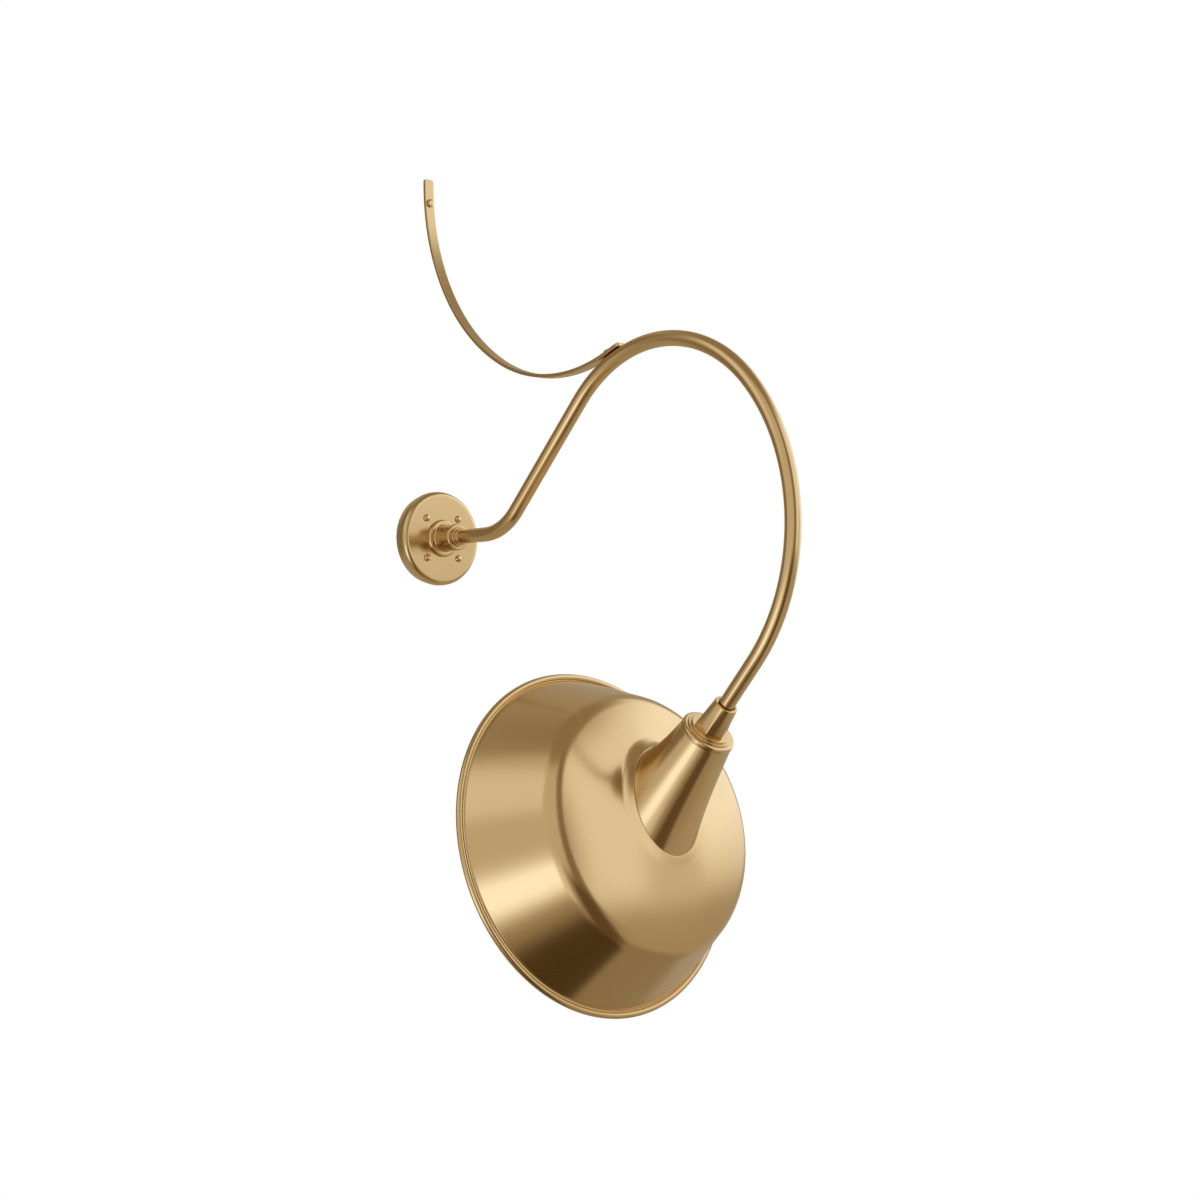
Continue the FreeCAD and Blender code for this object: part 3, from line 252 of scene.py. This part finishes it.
face_screw_spread = 27.0
face_head = head_line(5.0, 4.0, 0.5, 2.4, 20.0)
face_screws = []
for across in (-face_screw_spread, face_screw_spread):
    for above in (-face_screw_spread, face_screw_spread):
        seat = in_axes(wall_axes, *np.array([across, above, plate_face]))
        face_screws.append(turned("face_screw_%d" % len(face_screws), face_head,
                                  (seat,) + wall_axes[1:], "arm", 40,
                                  rows_close=False))
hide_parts("plate_screws")
brass_turned = satin_brass("satin brass, turned")
dress(brass_turned, "plate")
dress(satin_brass("satin brass, screw heads", dull=0.10), *[screw.name for screw in face_screws])

# ---------------------------------------------------------------------------
# Hub. Cast and turned brass: a rounded flange ring on the plate, a barrel, and
# a stepped ring that closes it round the tube.

tube_radius, tube_wall = 9.525, 1.6
tube_hole = tube_radius + 0.05
tube_start, hub_end = 30.0, 58.0
hub_line = closed_line([
    (6.8, plate_face), (25.5, plate_face, 0.6), (25.5, 28.3, 3.6), (18.1, 28.3, 1.6),
    (18.1, hub_end, 2.4), (tube_hole, hub_end), (tube_hole, tube_start), (6.8, tube_start)])
turned("hub_casting", hub_line, wall_axes, "arm", 128, ["hub"])
collar_line = closed_line([
    (tube_hole, hub_end), (13.6, hub_end, 0.6), (13.6, 61.6, 0.9), (11.6, 61.6, 0.15),
    (11.6, 62.4, 0.15), (11.4, 62.4, 0.1), (11.4, 66.6, 0.9), (10.4, 66.6), (10.4, 67.4),
    (tube_hole, 67.4)])
turned("hub_rings", collar_line, wall_axes, "arm", 96, ["hub_collar"])
dress(brass_turned, "hub_casting", "hub_rings")

# ---------------------------------------------------------------------------
# Behind the plate. A zinc-plated steel bar on the wall box, a soft ring against
# the wall, the nipple with its nut and washer, and the green ground screw.


def cloudy_metal(name, tone):
    """Plated or bare metal: one tone with cloudy crystals and dull spots."""
    metal = Finish(name)
    clouds = metal.noise(60.0, 4.0)
    return metal.give({
        "Base Color": metal.blend(clouds, tuple(0.85 * c for c in tone) + (1,), tone + (1,)),
        "Roughness": 0.3 + 0.15 * clouds,
        "Metallic": 1.0,
    })


steel_plate = cloudy_metal("zinc-plated steel", (0.70, 0.70, 0.66))
dress(steel_plate, "mounting_bar", "hub_nipple", "hub_nut", "hub_washer")

gasket_in, gasket_out, gasket_thick = 54.4, 59.4, 3.0
gasket_line = closed_line([(gasket_in, 0.0), (gasket_out, 0.0), (gasket_out, gasket_thick),
                           (gasket_in, gasket_thick)])
turned("gasket", gasket_line, wall_axes, "arm", 96, ["wall_gasket"])
foam = Finish("foam rubber")
pores = foam.noise(900.0, 2.0)
dress(foam.give({
    "Base Color": foam.blend(pores, (0.02, 0.02, 0.02, 1), (0.06, 0.06, 0.06, 1)),
    "Roughness": 0.85 + 0.1 * pores,
    "Normal": foam.relief(pores, 0.0002),
}), "gasket")

green = Finish("green plated screw")
wear = green.noise(300.0, 3.0)
dress(green.give({
    "Base Color": green.blend(wear, (0.02, 0.22, 0.07, 1), (0.05, 0.36, 0.13, 1)),
    "Roughness": 0.3 + 0.2 * wear,
    "Metallic": 0.6,
}), "ground_screw")

# ---------------------------------------------------------------------------
# Gooseneck. One brass tube, 19 mm thick and hollow, bent up from the hub, over
# in a wide loop and back down towards the wall.


def bent_line(out, up, heading, stretches, step=2.0):
    """Centre line made of straight runs (length,) and bends (radius, degrees up).

    Returns distances from the wall, heights and headings in degrees. A bend's
    points lie at radius r from a centre beside its start, at equal angles.
    """
    outs, ups, headings = [np.array([out])], [np.array([up])], [np.array([heading])]
    for stretch in stretches:
        if len(stretch) == 1:
            near = min(0.35, stretch[0] / 3)
            along = np.array([near, stretch[0] - near, stretch[0]])
            turned_by = np.zeros(3)
            a = math.radians(heading)
            outs.append(out + along * math.cos(a))
            ups.append(up + along * math.sin(a))
        else:
            radius, turn = stretch
            count = max(2, math.ceil(abs(turn) / step))
            turned_by = np.linspace(0, turn, count + 1)[1:]
            side = math.copysign(1.0, turn)
            a, b = math.radians(heading), np.radians(heading + turned_by)
            outs.append(out + side * radius * (np.sin(b) - math.sin(a)))
            ups.append(up - side * radius * (np.cos(b) - math.cos(a)))
        headings.append(heading + turned_by)
        out, up, heading = outs[-1][-1], ups[-1][-1], headings[-1][-1]
    return np.concatenate(outs), np.concatenate(ups), np.concatenate(headings)


def along_line(line, x, y):
    """Section (x, y) carried along a line: centre + x X + y N, with N up from its run."""
    outs, ups, headings = (values[:, None] for values in line)
    a = np.radians(headings)
    return np.stack([x + 0 * a, -(outs - y * np.sin(a)), ups + y * np.cos(a)], axis=-1)


def tube_side(radius):
    """Face of the tube at a radius round the arm's centre line."""
    a = np.linspace(0, 2 * math.pi, 72, endpoint=False)
    return along_line(arm_line, radius * np.sin(a), radius * np.cos(a))


bend_out, loop_radius = 113.4, 194.3
arm_rise = [(90.0, 45.8), (179.4,)]
arm_bends = arm_rise + [(loop_radius, -92.1), (240.4, -85.8)]
last_run, tube_in_cap = 104.8, 18.0
arm_line = bent_line(tube_start, 0.0, 0.0, [(bend_out - tube_start,)] + arm_bends
                     + [(last_run + tube_in_cap,)])
grid_piece("gooseneck", np.concatenate([tube_side(tube_radius),
                                        tube_side(tube_radius - tube_wall)[::-1]]),
           "arm", replaces=["gooseneck_tube"])
brass_drawn = satin_brass("satin brass, drawn tube")
dress(brass_drawn, "gooseneck")

# ---------------------------------------------------------------------------
# Wires. Black and white stranded wires with smooth insulation, and a bare one,
# drawn through the whole arm to the lamp holder.

def insulation(name, low, high, shine):
    """Smooth wire insulation, whose grey goes from low to high in smears."""
    wire = Finish(name)
    smears = wire.noise(80.0, 2.0)
    return wire.give({
        "Base Color": wire.blend(smears, (low, low, low, 1), (high, high, high, 1)),
        "Roughness": shine + 0.1 * smears,
    })


dress(insulation("black insulation", 0.012, 0.03, 0.45), "live_wire")
dress(insulation("white insulation", 0.72, 0.82, 0.4), "neutral_wire")
copper = cloudy_metal("bare copper", (0.78, 0.42, 0.26))
dress(copper, "ground_wire")

# ---------------------------------------------------------------------------
# Strap brace. Flat brass bar, 14.6 by 4.8 mm, bent on its flat: it lies on the
# wall, bows down and out, and ends flush on the top of the loop. Its ends are
# rounded, and a pan-head screw at each end holds it.

strap_half, strap_thick, end_rounding = 7.3, 4.8, 3.0
strap_top, bow_top, top_screw_up = 497.0, 484.0, 464.0
bow_radius, bow_turn = 298.0, 60.5
pad_length, loop_screw_back = 17.6, 7.5
pad_radius = loop_radius + tube_radius + strap_thick / 2
loop_out, loop_up, loop_heading = (
    values[-1] for values in bent_line(bend_out, 0.0, 0.0, arm_rise))
inward = math.radians(loop_heading - 90)
pad_centre = np.array([loop_out + loop_radius * math.cos(inward),
                       loop_up + loop_radius * math.sin(inward)])
toward = np.array([math.cos(math.radians(bow_turn)), math.sin(math.radians(bow_turn))])
bow_end = np.array([strap_thick / 2 + bow_radius, bow_top]) - bow_radius * toward
from_pad = bow_end - pad_centre
low_radius = ((from_pad @ from_pad - pad_radius ** 2)
              / (2 * (pad_radius - from_pad @ toward)))
low_centre = bow_end + low_radius * toward
touch = math.degrees(math.atan2(*(low_centre - pad_centre)[::-1]))
end_steps = [0.12, 0.3, 0.5, 0.8, 1.3]
pad_steps = [pad_length - sum(end_steps)] + end_steps[::-1]
strap_line = bent_line(
    strap_thick / 2, strap_top, -90.0,
    [(step,) for step in end_steps] + [(strap_top - bow_top - sum(end_steps),)]
    + [(bow_radius, bow_turn), (low_radius, touch - bow_turn)]
    + [(pad_radius, -math.degrees(step / pad_radius)) for step in pad_steps], 1.5)


def bar_section(half_width, half_thickness, rounding):
    """Rounded rectangle as a closed row of points (x, y)."""
    return closed_line([
        (-half_width, -half_thickness, rounding), (half_width, -half_thickness, rounding),
        (half_width, half_thickness, rounding), (-half_width, half_thickness, rounding)])


def rounded_off(reach, half, rounding):
    """Half width at a distance from the end, as a share of the full one: a quarter circle."""
    left = rounding - np.clip(reach, 0, rounding)
    return (half - rounding + np.sqrt(rounding ** 2 - left ** 2)) / half


walked = np.concatenate([[0.0], np.cumsum(np.hypot(np.diff(strap_line[0]), np.diff(strap_line[1])))])
reach = np.minimum(walked, walked[-1] - walked)[:, None]
strap_section = bar_section(strap_half, strap_thick / 2, 0.9)
strap_skin = along_line(
    strap_line, strap_section[:, 0] * rounded_off(reach, strap_half, end_rounding),
    strap_section[:, 1] * rounded_off(reach, strap_thick / 2, 0.7))
strap_tips = strap_skin[[0, -1]].mean(axis=1, keepdims=True)
strap_skin = np.concatenate([
    strap_tips[:1] + 0 * strap_skin[:1], 0.04 * strap_tips[:1] + 0.96 * strap_skin[:1], strap_skin,
    0.04 * strap_tips[1:] + 0.96 * strap_skin[-1:], strap_tips[1:] + 0 * strap_skin[:1]])
grid_piece("strap", strap_skin, "arm", False, ["brace_strap"])

pan_radius = 5.4
pan_head = head_line(pan_radius, 3.4, 1.5, 2.1, 9.0)
bow_face = bow_radius - strap_thick / 2
seat_out = strap_thick + bow_face - math.sqrt(
    bow_face ** 2 - (bow_top - top_screw_up + pan_radius) ** 2)
turned("strap_top_screw", pan_head, axes_at(seat_out, top_screw_up, 0.0), "arm",
       48, ["strap_wall_screw"], False)
screw_angle = touch - math.degrees(loop_screw_back / low_radius)
screw_reach = math.sqrt((low_radius - strap_thick / 2) ** 2 - pan_radius ** 2)
screw_spot = low_centre - screw_reach * np.array([math.cos(math.radians(screw_angle)),
                                                  math.sin(math.radians(screw_angle))])
turned("strap_loop_screw", pan_head, axes_at(*screw_spot, screw_angle), "arm",
       48, ["strap_tube_screw"], False)
dress(brass_drawn, "strap", "strap_top_screw", "strap_loop_screw")

# ---------------------------------------------------------------------------
# Hexagonal coupling. A brass cone on the tube, cut to six flats at its foot that
# fade towards its round top, with a round recess at the top for the tube.

arm_foot = [values[-1] for values in bent_line(bend_out, 0.0, 0.0, arm_bends + [(last_run,)])]
neck_axes = axes_at(arm_foot[0], arm_foot[1], arm_foot[2] + 180.0)
cap_top, flats_half, edge_softness = 2.9, 17.6, 0.03
coupling_line = closed_line([
    (tube_hole, cap_top), (20.3, cap_top, 0.6), (14.2, 40.3, 1.0), (11.2, 40.3, 0.5),
    (11.2, 37.8), (tube_hole, 37.8)])


def hexagonal(outline, half_across, softness):
    """Coupling's face: a turned outline (r, h), each of its rows cut back to six flats.

    A flat lies at f = half_across / cos(a), with a the angle from its middle. The
    radius is the soft minimum (r + f - sqrt((r - f)^2 + softness)) / 2.
    """
    t = np.linspace(0, 2 * math.pi, 288, endpoint=False)
    flat = half_across / np.cos((t + math.pi / 6) % (math.pi / 3) - math.pi / 6)
    r, h = outline[:, :1], outline[:, 1:]
    cut = 0.5 * (r + flat - np.sqrt((r - flat) ** 2 + softness))
    return in_axes(neck_axes, -cut * np.cos(t), cut * np.sin(t), h + 0 * t)


grid_piece("coupling", hexagonal(coupling_line, flats_half, edge_softness), "arm",
           replaces=["hex_coupling"])
dress(brass_turned, "coupling")
dress(steel_plate, "head_washer", "head_nut")

# ---------------------------------------------------------------------------
# Neck cap. Turned brass: a raised disc, a ring and a rounded lip, with a skirt
# that fits down inside the neck.

cap_hole, neck_top = tube_radius + 0.06, -8.0
cap_line = closed_line([
    (cap_hole, cap_top), (24.7, cap_top, 0.7), (24.7, 0.7, 0.25), (28.0, 0.7, 0.7),
    (28.0, -1.2, 0.3), (33.3, -1.2, 2.8), (33.3, neck_top, 0.8), (31.5, neck_top),
    (31.5, -15.0), (28.3, -15.0), (28.3, -4.8, 1.5), (cap_hole, -4.8)])
turned("cap", cap_line, neck_axes, "head", 128, ["neck_cap"])
dress(brass_turned, "cap")

# ---------------------------------------------------------------------------
# Neck. Spun brass cone, 1.3 mm thick, that flares a little to an oval foot on
# the tilted shade. A fine seam shows all round the foot. Its axis crosses the
# shade's axis 155.6 mm below the coupling's foot and 98 mm above the mouth.

cross_reach, cross_up, shade_turn = 155.6, 98.0, 31.3
neck_radius, neck_sheet, neck_taper = 32.9, 1.3, 8.5
foot_up, foot_half_wide, foot_half_long = 137.6, 50.8, 66.0
cross_a = math.radians(arm_foot[2])
mouth_a = math.radians(arm_foot[2] - shade_turn)
shade_axes = axes_at(
    arm_foot[0] + cross_reach * math.cos(cross_a) + cross_up * math.cos(mouth_a),
    arm_foot[1] + cross_reach * math.sin(cross_a) + cross_up * math.sin(mouth_a),
    arm_foot[2] + 180.0 - shade_turn)
foot_centre = (foot_up - cross_up) * math.tan(math.radians(shade_turn)) - 5.4
around = np.linspace(0, 2 * math.pi, 240, endpoint=False)


def foot_oval(growth):
    """Plan of the neck's foot on the shade: x and y of an ellipse, grown outward."""
    return (-(foot_half_wide + growth) * np.sin(around),
            foot_centre + (foot_half_long + growth) * np.cos(around))


def neck_skin(inset):
    """Neck's wall: a Bezier line from the top circle to the foot's oval at each angle.

    It leaves the top along the cone and meets the foot a little flared.
    """
    taper = math.radians(neck_taper)
    top_r = neck_radius - inset
    top = in_axes(neck_axes, -top_r * np.sin(around), top_r * np.cos(around), neck_top + 0 * around)
    foot_x, foot_y = foot_oval(-inset)
    foot = in_axes(shade_axes, foot_x, foot_y, foot_up + 0 * around)
    side = in_axes((np.zeros(3),) + neck_axes[1:], -np.sin(around), np.cos(around), 0 * around)
    run = math.cos(taper) * -neck_axes[3] + math.sin(taper) * side
    length = np.linalg.norm(foot - top, axis=1, keepdims=True)
    shin = top + 0.66 * length * run
    flare = (foot - shin) / np.linalg.norm(foot - shin, axis=1, keepdims=True)
    u = np.concatenate([[0, 0.004], np.linspace(0.03, 0.97, 30), [0.996, 1]])[:, None, None]
    return ((1 - u) ** 3 * top + 3 * u * (1 - u) ** 2 * (top + length / 3 * run)
            + 3 * u ** 2 * (1 - u) * (foot - length / 3 * flare) + u ** 3 * foot)


grid_piece("neck_cone", np.concatenate([neck_skin(0.0), neck_skin(neck_sheet)[::-1]]), "head",
           replaces=["neck"])
brass_spun = satin_brass("satin brass, spun")
dress(brass_spun, "neck_cone")

# ---------------------------------------------------------------------------
# Shade. Spun brass, 1.2 mm thick, 432 mm wide: rolled bead, straight flared
# wall, rounded shoulder and shallow crown, drawn up in a collar for the neck.

rim_radius, flare, shade_sheet = 216.0, 26.0, 1.2
bead_radius, shoulder_radius = 4.2, 34.0
crown_up, crown_radius = 139.0, 416.0
collar_seat, collar_run = 1.0, 15.0
wall_in = bead_radius - shade_sheet
flare_a = math.radians(flare)
wall_run = np.array([-math.sin(flare_a), math.cos(flare_a)])
wall_out = np.array([math.cos(flare_a), math.sin(flare_a)])
bead = np.array([rim_radius - bead_radius, bead_radius])
crown_centre = np.array([0.0, crown_up - crown_radius])
beside_bead = bead - wall_out * (wall_in + shoulder_radius)
back = beside_bead - crown_centre
climb = -back @ wall_run + math.sqrt(
    (back @ wall_run) ** 2 - back @ back + (crown_radius - shoulder_radius) ** 2)
shoulder = beside_bead + wall_run * climb
crown_edge = (shoulder - crown_centre) / np.linalg.norm(shoulder - crown_centre)


def turn_about(centre, radius, first, last, count):
    """Arc of points (r, h) about a centre, from one direction to another."""
    a = np.linspace(math.atan2(*first[::-1]), math.atan2(*last[::-1]), count)
    return centre + radius * np.stack([np.cos(a), np.sin(a)], axis=1)


def shade_flank(inset):
    """Rows (r, h) down the shade from the crown's edge to the bead, moved inward by inset."""
    bend = turn_about(shoulder, shoulder_radius - inset, crown_edge, wall_out, 26)
    foot_gap = math.sqrt(bead_radius ** 2 - wall_in ** 2) if inset == 0 else 0.0
    foot = bead - wall_out * (wall_in + inset) + wall_run * foot_gap
    wall = bend[-1] + np.linspace(0, 1, 24)[1:, None] * (foot - bend[-1])
    return np.concatenate([bend, wall])


def crown_rows(inset):
    """Crown and collar between the foot's oval and the crown's edge.

    The plan runs straight from the oval to the circle. Its height is the crown's
    sphere plus the collar's rise, which falls off as a square over 15 mm.
    """
    edge_r = shade_flank(inset)[0, 0]
    oval_x, oval_y = foot_oval(0.0)
    far_x, far_y = -edge_r * np.sin(around), edge_r * np.cos(around)
    span = np.hypot(far_x - oval_x, far_y - oval_y)
    near = np.concatenate([[-3.6, -3.3, -1.0, 0.3, 0.85],
                           1.1 + 17.0 * np.linspace(0, 1, 22) ** 1.4])[:, None]
    far = np.linspace(0, 1, 28)[1:, None]
    share = np.concatenate([near / span, near[-1] / span + far * (1 - near[-1] / span)])
    x = oval_x + share * (far_x - oval_x)
    y = oval_y + share * (far_y - oval_y)
    sphere = crown_centre[1] + np.sqrt((crown_radius - inset) ** 2 - x ** 2 - y ** 2)
    fall = np.clip((share * span - collar_seat) / collar_run, 0, 1)
    rise = (1 - fall) ** 2
    return x, y, sphere + (foot_up - inset - sphere) * rise


def shade_rows(inset):
    """Whole face of the shade from the neck's hole to the bead, as points in space."""
    x, y, h = crown_rows(inset)
    flank = shade_flank(inset)[1:]
    r = flank[:, :1]
    return in_axes(shade_axes, np.concatenate([x, -r * np.sin(around)]),
                   np.concatenate([y, r * np.cos(around)]),
                   np.concatenate([h, flank[:, 1:] + 0 * around]))


bead_from = shade_flank(0.0)[-1] - bead
bead_a = np.linspace(math.atan2(bead_from[1], bead_from[0]), math.radians(-154.0), 44)[1:-1]
bead_ring = bead + (bead_radius - 0.05) * np.stack([np.cos(bead_a), np.sin(bead_a)], axis=1)
bead_rows = in_axes(shade_axes, -bead_ring[:, :1] * np.sin(around),
                    bead_ring[:, :1] * np.cos(around), bead_ring[:, 1:] + 0 * around)
grid_piece("spun_shade", np.concatenate([shade_rows(0.0), bead_rows, shade_rows(shade_sheet)[::-1]]),
           "head", replaces=["shade"])
dress(brass_spun, "spun_shade")

# ---------------------------------------------------------------------------
# Lamp holder. Glazed white porcelain on a zinc-plated bracket under the cap,
# lined with a thin screw shell and a centre contact.

glaze = Finish("glazed porcelain")
flow = glaze.noise(40.0, 3.0)
dress(glaze.give({
    "Base Color": glaze.blend(flow, (0.80, 0.78, 0.72, 1), (0.88, 0.87, 0.83, 1)),
    "Roughness": 0.18 + 0.1 * flow,
    "Coat Weight": 0.6,
    "Coat Roughness": 0.08,
}), "lamp_holder")
dress(steel_plate, "holder_bracket", "bracket_screws", "holder_screws")
dress(copper, "holder_shell", "holder_contact")

# ---------------------------------------------------------------------------
# Lamp. A pear-shaped bulb of white-coated glass on a bright screw cap.

dress(cloudy_metal("bright lamp cap", (0.83, 0.83, 0.82)), "lamp_base")
milk = Finish("white-coated glass")
powder = milk.noise(55.0, 3.0)
dress(milk.give({
    "Base Color": milk.blend(powder, (0.84, 0.84, 0.82, 1), (0.90, 0.90, 0.88, 1)),
    "Roughness": 0.25 + 0.1 * powder,
    "Coat Weight": 0.8,
    "Coat Roughness": 0.04,
}), "lamp_glass")

# ---------------------------------------------------------------------------
# Studio. White background and floor, soft boxes, and grey and dark cards that
# only the metal's reflections see.

def two_faces(tree, lights, shows, output):
    """Feeds a tree's output: what camera, glossy and transmission rays meet, and what lights."""
    rays = tree.nodes.new("ShaderNodeLightPath")
    direct = rays.outputs["Is Camera Ray"]
    for kind in ("Is Glossy Ray", "Is Transmission Ray"):
        either = tree.nodes.new("ShaderNodeMath")
        either.operation = "MAXIMUM"
        tree.links.new(direct, either.inputs[0])
        tree.links.new(rays.outputs[kind], either.inputs[1])
        direct = either.outputs[0]
    choose = tree.nodes.new("ShaderNodeMixShader")
    tree.links.new(direct, choose.inputs[0])
    tree.links.new(lights.outputs[0], choose.inputs[1])
    tree.links.new(shows.outputs[0], choose.inputs[2])
    end = tree.nodes.new(output)
    tree.links.new(choose.outputs[0], end.inputs["Surface"])


world = bpy.data.worlds.new("studio")
world.use_nodes = True
bpy.context.scene.world = world
sky = world.node_tree
sky.nodes.clear()
room, white = (sky.nodes.new("ShaderNodeBackground") for _ in range(2))
for background, strength in ((room, 0.55), (white, 1.0)):
    background.inputs["Color"].default_value = (1, 1, 1, 1)
    background.inputs["Strength"].default_value = strength
two_faces(sky, room, white, "ShaderNodeOutputWorld")

# The soft boxes, boards and dark strips that the metal mirrors, painted on one
# dome in this order: azimuths and elevations in degrees, the fade of their
# edges, and how bright each is. Azimuth 0 is straight out from the wall, and
# 90 is to the right of the light. Only reflections see the dome.
CARDS = [
    ((-180, -130), (-12, 50), 18, 0.28),
    ((-128, -30), (-6, 60), 10, 0.70),
    ((-124, -90), (22, 48), 9, 0.95),
    ((-180, 180), (60, 95), 12, 0.34),
    ((0, 104), (-6, 50), 14, 1.08),
    ((56, 98), (4, 40), 10, 1.30),
    ((28, 55), (-8, 12), 8, 0.80),
    ((0, 112), (-95, -9), 9, 0.50),
    ((0, 112), (-95, -50), 14, 0.36),
    ((-150, -28), (-46, -28), 12, 0.40),
    ((-112, -52), (-36, -4), 10, 0.92),
    ((-100, -72), (-31, -11), 9, 1.55),
    ((-104, -10), (-95, -49), 16, 0.09),
    ((-28, -3), (-60, 62), 7, 0.28),
    ((-40, -3), (-60, -8), 8, 0.14),
]
turn_a, rise_a = np.meshgrid(np.linspace(-180, 180, 361), np.linspace(-89.5, 89.5, 180),
                             indexing="ij")
level = np.full(turn_a.shape, 0.45)
for (turn_low, turn_high), (rise_low, rise_high), fade, brightness in CARDS:
    mask = 1.0
    for value, low, high in ((turn_a, turn_low, turn_high), (rise_a, rise_low, rise_high)):
        inside = np.clip(0.5 + np.minimum(value - low, high - value) / fade, 0, 1)
        mask = mask * inside * inside * (3 - 2 * inside)
    level = level + mask * (brightness - level)
dome_radius, dome_depth, dome_centre = 3.0, 0.92, np.array([0.0, -0.35, -0.3])
away = np.minimum(dome_radius, dome_depth / np.maximum(np.sin(np.radians(-rise_a)), 1e-3))
away = np.where(rise_a < 0, away, dome_radius)
dome_points = dome_centre + away[..., None] * np.stack([
    np.sin(np.radians(turn_a)) * np.cos(np.radians(rise_a)),
    -np.cos(np.radians(turn_a)) * np.cos(np.radians(rise_a)), np.sin(np.radians(rise_a))], axis=-1)
index = np.arange(turn_a.size).reshape(turn_a.shape)
quads = np.stack([index[:-1, :-1], index[1:, :-1], index[1:, 1:], index[:-1, 1:]], axis=-1)
dome_mesh = bpy.data.meshes.new("dome")
dome_mesh.from_pydata(dome_points.reshape(-1, 3).tolist(), [], quads.reshape(-1, 4).tolist())
row = level.reshape(-1)
tint = np.stack([row, row ** 1.2, row ** 1.55, np.ones(row.size)], axis=1)
painted = dome_mesh.color_attributes.new("painted", "FLOAT_COLOR", "POINT")
painted.data.foreach_set("color", tint.astype(np.float32).reshape(-1))
dome = bpy.data.objects.new("dome", dome_mesh)
bpy.context.collection.objects.link(dome)
for rays_of in ("visible_camera", "visible_diffuse", "visible_transmission", "visible_shadow"):
    setattr(dome, rays_of, False)
lit = bpy.data.materials.new("dome light")
lit.use_nodes = True
lit.cycles.emission_sampling = "NONE"
lit.node_tree.nodes.clear()
paint = lit.node_tree.nodes.new("ShaderNodeAttribute")
paint.attribute_name = "painted"
shine = lit.node_tree.nodes.new("ShaderNodeEmission")
lit.node_tree.links.new(paint.outputs["Color"], shine.inputs["Color"])
dome_out = lit.node_tree.nodes.new("ShaderNodeOutputMaterial")
lit.node_tree.links.new(shine.outputs[0], dome_out.inputs["Surface"])
dome_mesh.materials.append(lit)

for light_name, spot, size, power in (("left lamp", (-2.2, -1.6, 0.6), 1.4, 26.0),
                                      ("right lamp", (1.8, -2.2, 1.2), 1.6, 30.0)):
    lamp_data = bpy.data.lights.new(light_name, "AREA")
    lamp_data.size = size
    lamp_data.energy = power
    lamp = bpy.data.objects.new(light_name, lamp_data)
    lamp.location = spot
    lamp.rotation_euler = (Vector((0, -0.35, -0.1)) - Vector(spot)).to_track_quat("-Z", "Y").to_euler()
    lamp.visible_camera = False
    lamp.visible_glossy = False
    bpy.context.collection.objects.link(lamp)

floor_half, floor_up = 6.0, -1.25
floor_mesh = bpy.data.meshes.new("floor")
floor_mesh.from_pydata([(x * floor_half, y * floor_half, floor_up)
                        for x, y in ((-1, -1), (1, -1), (1, 1), (-1, 1))], [], [(0, 1, 2, 3)])
floor = bpy.data.objects.new("floor", floor_mesh)
bpy.context.collection.objects.link(floor)
pale = bpy.data.materials.new("pale floor")
pale.use_nodes = True
floor_mesh.materials.append(pale)
pale.node_tree.nodes.clear()
matt = pale.node_tree.nodes.new("ShaderNodeBsdfDiffuse")
matt.inputs["Color"].default_value = (0.9, 0.9, 0.9, 1)
glow = pale.node_tree.nodes.new("ShaderNodeEmission")
glow.inputs["Strength"].default_value = 1.0
two_faces(pale.node_tree, matt, glow, "ShaderNodeOutputMaterial")

# ---------------------------------------------------------------------------
# Camera. At the photograph's place: to the left of the light, a little below
# the middle, with a 53 mm lens.

photo_width, photo_lens = 1200.0, 1778.93
film_width = 36.0
lens_turn, lens_rise, lens_roll = (math.radians(v) for v in (-43.22, -1.57, -0.95))
camera_spot = (-1.50596, -1.93724, -0.15426)
backward = Vector((math.sin(lens_turn) * math.cos(lens_rise),
                   -math.cos(lens_turn) * math.cos(lens_rise), math.sin(lens_rise)))
right = Vector((math.cos(lens_turn), math.sin(lens_turn), 0))
upward = backward.cross(right)
right, upward = (right * math.cos(lens_roll) + upward * math.sin(lens_roll),
                 upward * math.cos(lens_roll) - right * math.sin(lens_roll))
camera_data = bpy.data.cameras.new("camera")
camera_data.sensor_width = film_width
camera_data.lens = photo_lens * film_width / photo_width
camera = bpy.data.objects.new("camera", camera_data)
bpy.context.collection.objects.link(camera)
camera_turn = Matrix((right, upward, backward)).transposed().to_4x4()
camera.matrix_world = Matrix.Translation(camera_spot) @ camera_turn
bpy.context.scene.camera = camera
bpy.context.scene.view_settings.view_transform = "Standard"
